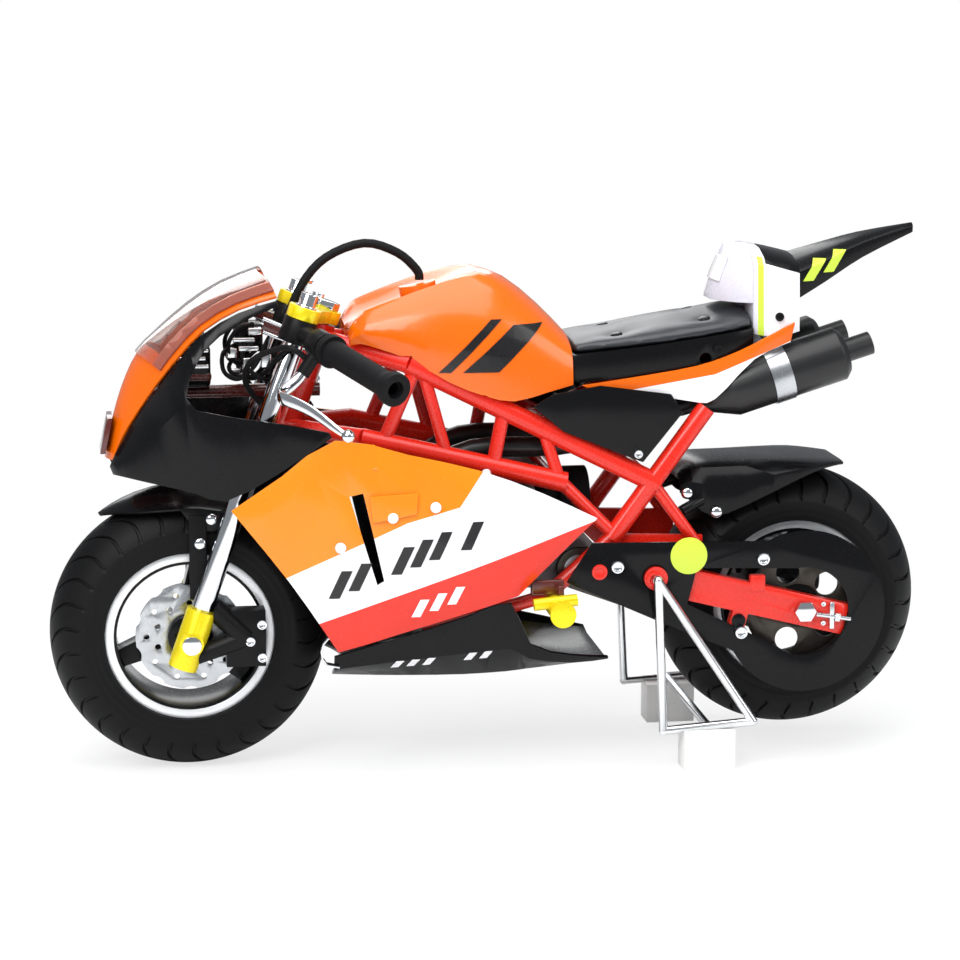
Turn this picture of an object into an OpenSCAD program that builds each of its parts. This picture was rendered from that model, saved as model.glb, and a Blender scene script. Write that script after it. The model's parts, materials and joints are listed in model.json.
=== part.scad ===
// Pocket racing minibike standing on its rear wire stand, in millimetres.
// X runs forward, Y to the rider's left and Z up from the floor.
// Modules are drawn from the rear axle and then shifted so the length is centred.

/* [Layout] */
// Distance between the two wheel axles
wheelbase = 625; // [580:1:680]
// Height of the tank crown, which sets out the heights of the body
body_h = 500; // [470:1:530]
// Half width of the body inside its fairing, which sets out the widths
body_half_w = 100; // [94:1:112]
// Height of the rear tyre above the floor on the stand
rear_lift = 22; // [14:1:34]

/* [Wheels] */
// Outside diameter of the front tyre
front_tyre_d = 282; // [274:1:288]
// Width of the front tyre
front_tyre_w = 90; // [80:1:92]
// Outside diameter of the rear tyre
rear_tyre_d = 275; // [266:1:282]
// Width of the rear tyre
rear_tyre_w = 110; // [100:1:111]
// Diameter over the rim flanges
rim_d = 172; // [166:1:178]
// Height of a rim flange above the bead seat
flange_h = 7; // [5:0.5:9]
// Thickness of a rim flange
flange_t = 4; // [3:0.5:6]
// Thickness of the rim barrel
barrel_t = 5; // [4:0.5:7]
// Width of the front rim
front_rim_w = 74; // [68:1:78]
// Width of the rear rim
rear_rim_w = 88; // [80:1:94]
// Diameter of both hubs
hub_d = 44; // [38:1:50]
// Width of a spoke at the hub
spoke_w = 30; // [22:1:34]
// Thickness of a spoke along the axle
spoke_t = 26; // [18:1:34]
// Spokes in each wheel
spoke_count = 3; // [3:1:5]
// Angle of the first spoke below the forward direction
spoke_turn = 21; // [0:1:60]
// Length of the front hub
front_hub_w = 84; // [80:1:88]
// Length of the rear hub
rear_hub_w = 134; // [132:1:138]
// Diameter of both axles
axle_d = 12; // [10:1:14]

/* [Brakes and drive] */
// Diameter of the front brake disc
front_disc_d = 110; // [100:1:118]
// Diameter of the rear brake disc
rear_disc_d = 112; // [100:1:120]
// Thickness of both brake discs
disc_t = 3.5; // [3:0.25:4.5]
// Distance of the front disc face from the middle plane
front_disc_y = 33; // [31:0.5:35]
// Distance of the chain line from the middle plane
chain_y = 63.75; // [62.5:0.25:64.5]
// Pitch radius of the wheel sprocket
sprocket_r = 56; // [50:1:60]
// Pitch radius of the engine sprocket
drive_r = 18; // [15:1:21]
// Thickness of both sprockets
sprocket_t = 4; // [3:0.25:5]
// Height of a chain side plate
chain_h = 7; // [6:0.5:8]
// Thickness of a chain side plate
chain_plate_t = 1; // [0.8:0.1:1.2]
// Pitch of the chain
chain_pitch = 16; // [12:1:20]

/* [Steering] */
// Backward slope of the fork from upright
rake = 19.5; // [17:0.5:22]
// Distance of the steering axis behind the fork legs
fork_offset = 25; // [23:0.5:28]
// Distance of a fork leg from the middle plane
fork_y = 62; // [61:0.5:66]
// Diameter of a fork leg
fork_d = 22; // [19:0.5:23]
// Length of a fork leg above the axle
fork_len = 352; // [348:1:360]
// Height of the lower yoke along the fork
low_yoke_s = 196; // [190:1:202]
// Height of the upper yoke along the fork
top_yoke_s = 344; // [340:1:348]
// Thickness of both yokes
yoke_t = 13; // [11:0.5:14]
// Diameter of the steering stem
stem_d = 20; // [16:0.5:22]
// Outside diameter of the head tube
head_d = 34; // [30:0.5:38]
// Gap between the head tube and each yoke
head_gap = 2; // [1:0.25:3]
// Diameter of a fork clamp at the axle
axle_clamp_d = 30; // [27:0.5:31]
// Length of a fork clamp at the axle
axle_clamp_len = 62; // [54:1:70]
// Length of a handlebar from its fork leg
bar_len = 178; // [165:1:190]
// Diameter of a handlebar
bar_d = 20; // [18:0.5:22]
// Bore in the end of a handlebar
bar_bore_d = 14; // [10:0.5:15]
// Backward sweep of a handlebar
bar_sweep = 27.5; // [22:0.5:30]
// Downward slope of a handlebar
bar_droop = 12.5; // [8:0.5:16]
// Length of a grip
grip_len = 120; // [105:1:124]
// Diameter of a grip
grip_d = 30; // [27:0.5:32]
// Thickness of a brake lever
lever_d = 9; // [7:0.5:10]

/* [Frame] */
// Diameter of the main frame tubes
tube_d = 21; // [18:0.5:23]
// Diameter of the trellis struts
strut_d = 14; // [11:0.5:16]
// Distance of the frame sides from the middle plane
frame_y = 75; // [74:0.5:78]
// Diameter of the cross tube that carries the swingarm
pivot_d = 24; // [22:0.5:26]
// Length of the cross tube that carries the swingarm
pivot_len = 196; // [194:1:204]
// Thickness of a pivot plate
plate_t = 7; // [5:0.5:7.5]
// Thickness of a swingarm leg
arm_t = 14; // [12:0.5:14.5]
// Height of a swingarm leg
arm_h = 32; // [28:0.5:36]

/* [Stand] */
// Diameter of the stand wire
wire_d = 9; // [7:0.5:10]
// Diameter of the stand pin in the cross tube
pin_d = 10; // [8:0.5:12]
// Length of a stand pin inside the cross tube
pin_len = 24; // [16:1:40]
// Height of a stand foot
foot_h = 42; // [38:1:46]
// Length of a stand foot
foot_len = 52; // [44:1:60]
// Width of a stand foot
foot_w = 34; // [28:1:40]

/* [Bodywork] */
// Wall of the moulded panels
wall = 3; // [2:0.25:4]
// Wall of the clear screen
screen_wall = 2; // [1.5:0.25:3]
// Thickness of the seat pad at its edge
pad_t = 9; // [6:0.5:12]
// Gap between the front tyre and its mudguard
mudguard_gap = 8; // [6:0.5:12]
// Thickness of the chain guard
guard_t = 3; // [2:0.25:4]
// Radius of a muffler
muffler_r = 28; // [24:0.5:30]
// Distance of a muffler from the middle plane
muffler_y = 50; // [46:0.5:52]
// Diameter of the exhaust outlets
outlet_d = 18; // [14:0.5:22]
// Diameter of the breather hose
hose_d = 9; // [7:0.5:11]
// Diameter of the control cables
cable_d = 6; // [5:0.5:8]
// Diameter of a footpeg
peg_d = 22; // [18:0.5:26]
// Length of a footpeg
peg_len = 54; // [44:1:64]

/* [Fits] */
// Gap left between pieces that seat on each other
seat_gap = 0.3; // [0.2:0.05:0.5]
// Gap in the round clamps on shafts
clamp_gap = 0.15; // [0.1:0.01:0.2]
// Gap in the turning bearings
run_gap = 0.06; // [0.03:0.01:0.1]

/* [Hidden] */
$fn = 64;
panel_steps = 3;
cord_steps = 4;
front_r = front_tyre_d / 2;
rear_r = rear_tyre_d / 2;
front_axle = [wheelbase, 0, front_r];
rear_axle_z = rear_r + rear_lift;
rear_axle_at = [0, 0, rear_axle_z];
mid_x = (wheelbase + front_r - rear_r) / 2;
rim_r = rim_d / 2;
bead_r = rim_r - flange_h;
barrel_r = bead_r - barrel_t;
hub_r = hub_d / 2;
axle_r = axle_d / 2;
fork_r = fork_d / 2;
fork_dir = [-sin(rake), 0, cos(rake)];
offset_dir = [-cos(rake), 0, -sin(rake)];
bar_dir = [-sin(bar_sweep) * cos(bar_droop), cos(bar_sweep) * cos(bar_droop), -sin(bar_droop)];
pivot_at = [0.25 * wheelbase, 0, 0.398 * body_h];
drive_at = [0.37 * wheelbase, 0, 0.41 * body_h];
arm_y = frame_y + seat_gap + plate_t / 4;
guard_y = arm_y + arm_t + seat_gap;
plate_y = frame_y - 0.95 * plate_t;
plate_out_y = frame_y - 0.15 * plate_t;

// Place in the bike from shares of the wheelbase, half width and body height
function spot(s) = [s[0] * wheelbase, s[1] * body_half_w, s[2] * body_h];
function spots(rows) = [for (s = rows) spot(s)];
function side_spot(s) = [s[0] * wheelbase, s[1] * body_h];
function side_spots(rows) = [for (s = rows) side_spot(s)];
// Place along a fork leg or along the steering axis
function fork_at(s, y) = front_axle + s * fork_dir + [0, y, 0];
function axis_at(s) = front_axle + s * fork_dir + fork_offset * offset_dir;
// Smooth run through the rows of a table
function blend4(a, b, c, d, t) =
    (2 * b + (c - a) * t + (2 * a - 5 * b + 4 * c - d) * t * t + (3 * b - a - 3 * c + d) * t * t * t) / 2;
function smooth(rows, n) = [
    for (k = [0:(len(rows) - 1) * n])
        let (i = min(floor(k / n), len(rows) - 2), last = len(rows) - 1)
        blend4(rows[max(i - 1, 0)], rows[i], rows[i + 1], rows[min(i + 2, last)], k / n - i)
];
function between(a, b, share) = a + share * (b - a);
function unit(v) = v / norm(v);
function quad(a, b, c, d) = [[a, b, c], [a, c, d]];
function reversed(v) = [for (k = [len(v) - 1:-1:0]) v[k]];
// Outward direction at a point of a panel grid
function grid_normal(g, i, j) =
    let (n = len(g) - 1, m = len(g[0]) - 1)
    let (along = g[min(i + 1, n)][j] - g[max(i - 1, 0)][j])
    let (down = g[i][min(j + 1, m)] - g[i][max(j - 1, 0)])
    unit(cross(down, along));
function moved_grid(g, reach) = [
    for (i = [0:len(g) - 1]) [for (j = [0:len(g[0]) - 1]) g[i][j] + reach * grid_normal(g, i, j)]
];

module both_sides() {
    children();
    mirror([0, 1, 0]) children();
}

module place() {
    translate([-mid_x, 0, 0]) children();
}

// Round bar between two points
module rod(a, b, d) {
    v = b - a;
    translate(a)
        rotate([0, acos(v[2] / norm(v)), atan2(v[1], v[0])])
            cylinder(d = d, h = norm(v));
}

// Round bar along Y at a place in the side view
module cross_rod(at, y0, y1, d) {
    translate([at[0], y1, at[2]]) rotate([90, 0, 0]) cylinder(d = d, h = y1 - y0);
}

// Flat plate drawn in the side view and given thickness along Y
module side_plate(y0, y1) {
    translate([0, y1, 0]) rotate([90, 0, 0]) linear_extrude(y1 - y0) children();
}

// Pieces drawn round an axle, with the drawing's height turned onto Y
module on_axle(at) {
    translate(at) rotate([-90, 0, 0]) children();
}

// Pieces drawn with their height along the fork
module on_fork() {
    translate(front_axle) rotate([0, -rake, 0]) children();
}

// Thin moulded panel under a grid of outer points
module panel(g, t) {
    n = len(g);
    m = len(g[0]);
    k = n * m;
    inner = moved_grid(g, -t);
    points = concat([for (row = g) for (p = row) p], [for (row = inner) for (p = row) p]);
    faces = concat(
        [for (i = [0:n - 2]) for (j = [0:m - 2])
            for (f = quad(i * m + j, (i + 1) * m + j, (i + 1) * m + j + 1, i * m + j + 1)) f],
        [for (i = [0:n - 2]) for (j = [0:m - 2])
            for (f = quad(k + i * m + j, k + i * m + j + 1, k + (i + 1) * m + j + 1,
                k + (i + 1) * m + j)) f],
        [for (j = [0:m - 2]) for (f = quad(j, j + 1, k + j + 1, k + j)) f],
        [for (j = [0:m - 2])
            for (f = quad((n - 1) * m + j + 1, (n - 1) * m + j, k + (n - 1) * m + j,
                k + (n - 1) * m + j + 1)) f],
        [for (i = [0:n - 2]) for (f = quad((i + 1) * m, i * m, k + i * m, k + (i + 1) * m)) f],
        [for (i = [0:n - 2])
            for (f = quad(i * m + m - 1, (i + 1) * m + m - 1, k + (i + 1) * m + m - 1,
                k + i * m + m - 1)) f]
    );
    polyhedron(points = points, faces = faces);
}

// Closed body through a row of rings, each starting at its top
module loft(rings) {
    n = len(rings);
    m = len(rings[0]);
    points = [for (r = rings) for (p = r) p];
    faces = concat(
        [for (i = [0:n - 2]) for (j = [0:m - 1])
            for (f = quad(i * m + j, (i + 1) * m + j, (i + 1) * m + (j + 1) % m, i * m + (j + 1) % m)) f],
        [for (j = [1:m - 2]) [0, j, j + 1]],
        [for (j = [1:m - 2]) [(n - 1) * m, (n - 1) * m + j + 1, (n - 1) * m + j]]
    );
    polyhedron(points = points, faces = faces);
}

// Ring across the bike from half a profile of [y, z] rows, top first
function cross_ring(x, half) =
    concat([for (p = half) [x, p[0], p[1]]], [for (p = reversed(half)) if (p[0] > 0) [x, -p[0], p[1]]]);

// Flexible line of round section through a row of points
module cord(route, d, sides, up) {
    line = smooth(route, cord_steps);
    last = len(line) - 1;
    rings = [
        for (i = [0:last])
            let (t = unit(line[min(i + 1, last)] - line[max(i - 1, 0)]))
            let (u = unit(cross(up, t)))
            let (v = cross(t, u))
            [for (k = [0:sides - 1]) line[i] + d / 2 * (cos(-360 * k / sides)
                * u + sin(-360 * k / sides) * v)]
    ];
    loft(rings);
}

// Wheels
module rim_profile(w) {
    half = w / 2;
    polygon([
        [barrel_r, -half], [rim_r, -half], [rim_r, flange_t - half], [bead_r, flange_t - half],
        [bead_r, half - flange_t], [rim_r, half - flange_t], [rim_r, half], [barrel_r, half]
    ]);
}

module spoke() {
    reach = barrel_r + barrel_t / 2;
    tip_share = 0.6;
    rotate([90, 0, 0])
        linear_extrude(spoke_t, center = true)
            polygon([
                [0, -spoke_w / 2], [reach, -tip_share * spoke_w / 2],
                [reach, tip_share * spoke_w / 2], [0, spoke_w / 2]
            ]);
}

module cast_wheel(at, rim_w, hub_w) {
    difference() {
        union() {
            on_axle(at) rotate_extrude() rim_profile(rim_w);
            translate(at)
                for (k = [0:spoke_count - 1])
                    rotate([0, spoke_turn - 360 * k / spoke_count, 0]) spoke();
            cross_rod(at, -hub_w / 2, hub_w / 2, hub_d);
        }
        cross_rod(at, -hub_w, hub_w, axle_d + 2 * run_gap);
    }
}

module tyre_body(at, tyre_r, tyre_w, crown_r, rim_w) {
    bead_half = rim_w / 2 - flange_t - seat_gap;
    low_r = rim_r + seat_gap;
    on_axle(at) rotate_extrude() {
        intersection() {
            translate([tyre_r - crown_r, 0]) circle(crown_r);
            translate([low_r, -tyre_w / 2]) square([tyre_r, tyre_w]);
        }
        translate([bead_r + seat_gap, -bead_half]) square([flange_h + flange_t, 2 * bead_half]);
    }
}

module front_tyre() {
    color("#161616") tyre_body(front_axle, front_r, front_tyre_w, front_tyre_w / 2, front_rim_w);
}

module rear_tyre() {
    crown_share = 0.57;
    color("#161616") tyre_body(rear_axle_at, rear_r, rear_tyre_w, crown_share * rear_tyre_w, rear_rim_w);
}

module front_rim() {
    color("#222222") cast_wheel(front_axle, front_rim_w, front_hub_w);
}

module rear_rim() {
    color("#222222") cast_wheel(rear_axle_at, rear_rim_w, rear_hub_w);
}

// Wavy brake disc with a ring of holes
module brake_disc(at, d, y0) {
    waves = 10;
    holes = 20;
    wave_share = 0.16;
    hole_share = 0.055;
    on_axle(at + [0, y0, 0]) linear_extrude(disc_t) difference() {
        circle(d / 2);
        circle(hub_r + clamp_gap);
        for (k = [0:waves - 1])
            rotate(360 * (k + 0.5) / waves) translate([d * (1 + wave_share) / 2, 0])
                circle(wave_share * d / 2 * 1.3);
        for (k = [0:holes - 1])
            rotate(360 * k / holes) translate([d * (k % 2 == 0 ? 0.4 : 0.31), 0])
                circle(hole_share * d / 2);
    }
}

module front_disc() {
    color("#c9ccd0") brake_disc(front_axle, front_disc_d, front_disc_y);
}

module rear_disc() {
    color("#c9ccd0") brake_disc(rear_axle_at, rear_disc_d, -chain_y);
}

module sprocket_plate(at, r, bore_r, y0) {
    on_axle(at + [0, y0, 0]) linear_extrude(sprocket_t) difference() {
        circle(r);
        circle(bore_r);
    }
}

module rear_sprocket() {
    lighten_share = 0.22;
    hole_row_share = 0.66;
    color("#8d9094") difference() {
        sprocket_plate(rear_axle_at, sprocket_r, hub_r + clamp_gap, chain_y - sprocket_t / 2);
        for (k = [0:4])
            translate(rear_axle_at) rotate([0, 72 * k, 0])
                cross_rod([hole_row_share * sprocket_r, 0, 0], 0, 2 * chain_y,
                    lighten_share * 2 * sprocket_r);
    }
}

module drive_sprocket() {
    color("#8d9094") {
        sprocket_plate(drive_at, drive_r, axle_r, chain_y - sprocket_t / 2);
        cross_rod(drive_at, 0.7 * engine_half_w, chain_y + 0.75 * sprocket_t, axle_d);
    }
}

// Chain: two outlines of side plates with pins on the straight runs
function belt_turn() = atan2(drive_at[2] - rear_axle_z, drive_at[0]);
function belt_span() = norm(drive_at - rear_axle_at);
function belt_lean() = acos((sprocket_r - drive_r) / belt_span());

module belt(grow) {
    big = sprocket_r + grow;
    small = drive_r + grow;
    far = belt_span();
    a = belt_lean();
    translate([0, rear_axle_z]) rotate(belt_turn()) {
        circle(big);
        translate([far, 0]) circle(small);
        polygon([
            [big * cos(a), big * sin(a)], [big * cos(a), -big * sin(a)],
            [far + small * cos(a), -small * sin(a)], [far + small * cos(a), small * sin(a)]
        ]);
    }
}

module chain_side(y0) {
    side_plate(y0, y0 + chain_plate_t) difference() {
        belt(chain_h / 2);
        belt(-chain_h / 2);
    }
}

module chain() {
    run = belt_span() * sin(belt_lean());
    pins = floor(run / chain_pitch) - 1;
    gap_y = sprocket_t / 2 + 2 * seat_gap;
    pin_share = 0.55;
    color("#55504a") {
        chain_side(chain_y + gap_y);
        chain_side(chain_y - gap_y - chain_plate_t);
        translate(rear_axle_at) rotate([0, -belt_turn(), 0]) for (s = [-1, 1])
            rotate([0, s * (90 - belt_lean()), 0])
                for (k = [1:pins])
                    cross_rod(
                        [k * chain_pitch, 0, s * sprocket_r], chain_y - gap_y - chain_plate_t / 2,
                        chain_y + gap_y + chain_plate_t / 2, pin_share * chain_h
                    );
    }
}

// Axles
module front_axle_bolt() {
    clamp_in = fork_y - axle_clamp_d / 2;
    clamp_out = fork_y + axle_clamp_d / 2;
    collar_d = 1.6 * axle_d;
    head_h = axle_d / 2;
    color("#b9bcc0") {
        cross_rod(front_axle, -clamp_out - head_h, clamp_out + head_h, axle_d);
        both_sides() {
            cross_rod(front_axle, clamp_out, clamp_out + head_h, collar_d);
            cross_rod(front_axle, front_hub_w / 2 + seat_gap, clamp_in - seat_gap, collar_d);
        }
    }
}

module rear_axle_bolt() {
    arm_out = arm_y + arm_t;
    collar_d = 1.6 * axle_d;
    nut_d = 1.9 * axle_d;
    head_h = 0.7 * axle_d;
    color("#b9bcc0") {
        cross_rod(rear_axle_at, -arm_out - head_h, arm_out + head_h, axle_d);
        both_sides() {
            cross_rod(rear_axle_at, rear_hub_w / 2 + seat_gap, arm_y - seat_gap, collar_d);
            translate(rear_axle_at + [0, arm_out + head_h, 0])
                rotate([90, 0, 0]) cylinder(d = nut_d, h = head_h, $fn = 6);
        }
    }
}

// Steering
module fork_tubes() {
    cap_d = 0.8 * fork_d;
    cap_h = 0.3 * fork_d;
    color("#c4c7ca") on_fork() both_sides() translate([0, fork_y, 0]) {
        translate([0, 0, axle_r + clamp_gap + seat_gap]) cylinder(d = fork_d, h = fork_len);
        translate([0, 0, fork_len]) cylinder(d = cap_d, h = cap_h + axle_d);
    }
}

module fork_clamps() {
    low_share = 0.45;
    color("#b98a2c") difference() {
        both_sides() {
            on_fork() translate([0, fork_y, -low_share * axle_clamp_len])
                cylinder(d = axle_clamp_d, h = axle_clamp_len);
            cross_rod(front_axle, fork_y - axle_clamp_d / 2, fork_y + axle_clamp_d / 2, 2 * axle_d);
        }
        on_fork() both_sides() translate([0, fork_y, axle_r + clamp_gap])
            cylinder(d = fork_d + 2 * clamp_gap, h = axle_clamp_len);
        cross_rod(front_axle, -2 * fork_y, 2 * fork_y, axle_d + 2 * clamp_gap);
    }
}

module yoke() {
    leg_d = 1.5 * fork_d;
    boss_d = 1.1 * head_d;
    arm_w = 0.42 * head_d;
    difference() {
        union() {
            both_sides() translate([0, fork_y, 0]) cylinder(d = leg_d, h = yoke_t);
            translate([-fork_offset, 0, 0]) cylinder(d = boss_d, h = yoke_t);
            linear_extrude(yoke_t) polygon([
                [-fork_offset - arm_w, 0], [-arm_w, fork_y], [arm_w, fork_y],
                [arm_w - fork_offset, 0], [arm_w, -fork_y], [-arm_w, -fork_y]
            ]);
        }
        both_sides() translate([0, fork_y, -yoke_t]) cylinder(d = fork_d + 2 * clamp_gap, h = 3 * yoke_t);
        translate([-fork_offset, 0, -yoke_t]) cylinder(d = stem_d + 2 * clamp_gap, h = 3 * yoke_t);
    }
}

module upper_yoke() {
    color("#c09a33") on_fork() translate([0, 0, top_yoke_s]) yoke();
}

module lower_yoke() {
    color("#202020") on_fork() translate([0, 0, low_yoke_s]) yoke();
}

module steering_stem() {
    nut_d = 1.5 * stem_d;
    nut_h = 0.4 * stem_d;
    stem_len = top_yoke_s + yoke_t - low_yoke_s;
    color("#c4c7ca") on_fork() translate([-fork_offset, 0, low_yoke_s]) {
        cylinder(d = stem_d, h = stem_len + nut_h);
        translate([0, 0, stem_len]) cylinder(d = nut_d, h = nut_h, $fn = 6);
        translate([0, 0, -nut_h]) cylinder(d = nut_d, h = nut_h, $fn = 6);
    }
}

// Handlebars
bar_clamp_h = 1.2 * bar_d;
bar_clamp_s = top_yoke_s - bar_clamp_h - seat_gap;
bar_root = fork_at(bar_clamp_s + bar_clamp_h / 2, fork_y);
grip_from = bar_len - grip_len;
function bar_at(t) = bar_root + t * bar_dir;

module handlebars() {
    clamp_d = 1.55 * fork_d;
    stub = 0.1 * grip_len;
    color("#1c1c1c") both_sides() difference() {
        union() {
            on_fork() translate([0, fork_y, bar_clamp_s]) cylinder(d = clamp_d, h = bar_clamp_h);
            rod(bar_at(0), bar_at(bar_len - stub / 2), bar_d);
        }
        on_fork() translate([0, fork_y, 0]) cylinder(d = fork_d + 2 * clamp_gap, h = fork_len);
        rod(bar_at(bar_len - grip_len / 2), bar_at(bar_len), bar_bore_d);
    }
}

module grips() {
    end_d = 1.28 * grip_d;
    end_t = 0.07 * grip_len;
    color("#141414") both_sides() difference() {
        union() {
            rod(bar_at(grip_from), bar_at(bar_len), grip_d);
            rod(bar_at(grip_from), bar_at(grip_from + end_t), end_d);
            rod(bar_at(bar_len - end_t), bar_at(bar_len), end_d);
        }
        rod(bar_at(0), bar_at(2 * bar_len), bar_d + 2 * clamp_gap);
    }
}

// Brake levers hang forward of and below the grips
perch_from = 0.2 * bar_len;
perch_len = 0.1 * bar_len;
lever_pivot = bar_at(perch_from + perch_len / 2) + [1.2 * bar_d, 0.3 * bar_d, -1.7 * bar_d];
lever_knee = lever_pivot + [1.1 * bar_d, 0.9 * bar_d, -0.75 * bar_d];
lever_tip = lever_knee + [-2.9 * bar_d, 3.1 * bar_d, -1.05 * bar_d];

perch_mid = bar_at(perch_from + perch_len / 2);
perch_arm_d = 0.7 * bar_d;
perch_reach_share = 0.82;

module lever_perches() {
    ring_d = 1.45 * bar_d;
    color("#1c1c1c") both_sides() difference() {
        union() {
            rod(bar_at(perch_from), bar_at(perch_from + perch_len), ring_d);
            rod(perch_mid, between(perch_mid, lever_pivot, perch_reach_share), perch_arm_d);
        }
        rod(bar_at(0), bar_at(bar_len), bar_d + 2 * clamp_gap);
    }
}

module levers() {
    root = between(perch_mid, lever_pivot, perch_reach_share);
    ball_d = 1.7 * lever_d;
    joint_d = 1.3 * lever_d;
    color("#c9ccd0") both_sides() difference() {
        union() {
            rod(root, lever_pivot, lever_d);
            rod(lever_pivot, lever_knee, lever_d);
            rod(lever_knee, lever_tip, lever_d);
            translate(lever_pivot) sphere(d = joint_d);
            translate(lever_knee) sphere(d = joint_d);
            translate(lever_tip) sphere(d = ball_d);
        }
        rod(perch_mid, root, 2 * bar_d);
    }
}

// Front mudguard: arched rows round the front axle with a pointed lip
// Angle from forward, share of the half width, share of the side drop
front_guard_shares = [
    [54, 0.10, 0.05], [60, 0.45, 0.35], [70, 0.80, 0.80], [85, 1, 1], [105, 1, 1], [125, 1, 1],
    [142, 0.92, 0.9]
];
// Angle and share of the tyre radius round a mudguard skirt
skirt_shares = [[86, 0.955], [95, 0.955], [104, 0.955], [113, 0.955], [103, 0.8], [93, 0.8]];
front_guard_half_w = 0.55 * front_tyre_w;
front_guard_drop = 0.2 * front_tyre_w;
guard_cols = 6;

module front_fender() {
    top_r = front_r + mudguard_gap + wall;
    skirt_y = fork_y - fork_r - seat_gap;
    rows = [
        for (row = smooth(front_guard_shares, 2)) [
            for (k = [-guard_cols:guard_cols])
                let (c = k / guard_cols)
                let (r = top_r - front_guard_drop * row[2] * c * c)
                front_axle + [r * cos(row[0]), c * front_guard_half_w * row[1], r * sin(row[0])]
        ]
    ];
    color("#1b1b1b") {
        panel(rows, wall);
        both_sides() side_plate(skirt_y - wall, skirt_y) polygon([
            for (row = skirt_shares)
                [wheelbase + row[1] * front_r * cos(row[0]), front_r + row[1] * front_r * sin(row[0])]
        ]);
    }
}

// Front brake caliper behind the left fork leg
caliper_at = front_axle + [-0.5 * front_disc_d, 0, 0.02 * front_disc_d];
caliper_len = 0.36 * front_disc_d;
caliper_h = 0.52 * front_disc_d;

module front_caliper() {
    out_y = fork_y + fork_r / 2;
    in_y = front_disc_y + disc_t + 2 * wall;
    pad_y = front_disc_y + disc_t + seat_gap + clamp_gap;
    lug_d = 0.2 * front_disc_d;
    color("#26221f") difference() {
        union() {
            translate([caliper_at[0] - caliper_len / 2, in_y, caliper_at[2] - caliper_h / 2])
                cube([caliper_len, out_y - in_y, caliper_h]);
            cross_rod(caliper_at, pad_y, in_y + wall, 0.2 * front_disc_d);
            rod(caliper_at + [0, fork_y, 0], fork_at(0.125 * fork_len, fork_y), lug_d);
            rod(caliper_at + [0, fork_y, 0], fork_at(-0.052 * fork_len, fork_y), 0.9 * lug_d);
        }
        on_fork() translate([0, fork_y, -fork_len])
            cylinder(d = axle_clamp_d + 2 * clamp_gap, h = 2 * fork_len);
    }
}

// Cables on the steering: from the levers round to the lower yoke and the caliper
left_cable_shares = [[0.856, 0.88, 0.880], [0.898, 0.72, 0.852], [0.905, 0.52, 0.800]];
function cable_foot(s) = front_axle + s * fork_dir + 0.2 * fork_offset * offset_dir + [0, 0.6 * fork_y, 0];

module steering_cables() {
    top_s = low_yoke_s + yoke_t + seat_gap;
    lead = 2.5 * cable_d;
    out = [0.81, 0, 0.58];
    start = perch_mid + 0.55 * perch_reach_share * (lever_pivot - perch_mid)
        + (perch_arm_d / 2 + seat_gap) * out;
    route = concat(
        [start, start + lead * out],
        spots(left_cable_shares),
        [cable_foot(top_s + 2 * lead), cable_foot(top_s + lead), cable_foot(top_s)]
    );
    color("#121212") both_sides() cord(route, cable_d, 8, [0.2, 0.9, 0.3]);
}

// Frame: one side is listed from the head tube back
head_low_s = low_yoke_s + yoke_t + head_gap;
head_high_s = top_yoke_s - head_gap;
upper_bend = [0.648 * wheelbase, 0.93 * frame_y, 0.84 * body_h];
upper_joint = [0.253 * wheelbase, frame_y, 0.592 * body_h];
lower_bend = [0.724 * wheelbase, 0.88 * frame_y, 0.69 * body_h];
lower_end = [0.403 * wheelbase, frame_y, 0.596 * body_h];
seat_top = [0.163 * wheelbase, frame_y, 0.74 * body_h];
seat_foot = [0.314 * wheelbase, frame_y, 0.482 * body_h];
rear_foot = [0.178 * wheelbase, frame_y, 0.462 * body_h];
cradle_bend = [0.424 * wheelbase, frame_y, 0.36 * body_h];
cradle_end = [0.624 * wheelbase, 0.93 * frame_y, 0.29 * body_h];
rail_start = [0.42 * wheelbase, 0.4 * frame_y, 0.70 * body_h];
rail_end = [0.13 * wheelbase, 0.4 * frame_y, 0.858 * body_h];
plate_shares = [[0.166, 0.40], [0.166, 0.476], [0.33, 0.484], [0.345, 0.46], [0.27, 0.366], [0.21, 0.366]];
neck_tube_d = 0.94 * tube_d;
seat_tube_d = 0.92 * tube_d;
thin_strut_d = 0.9 * strut_d;
cradle_d = 1.08 * strut_d;
rail_d = 0.94 * strut_d;
cross_d = 0.84 * strut_d;
upper_start = axis_at(between(head_low_s, head_high_s, 0.88)) + [0, head_d / 4, 0];
lower_start = axis_at(between(head_low_s, head_high_s, 0.14)) + [0, head_d / 4, 0];
tank_cross = between(upper_bend, upper_joint, 0.3);
rail_cross = between(rail_start, rail_end, 0.88);

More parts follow.
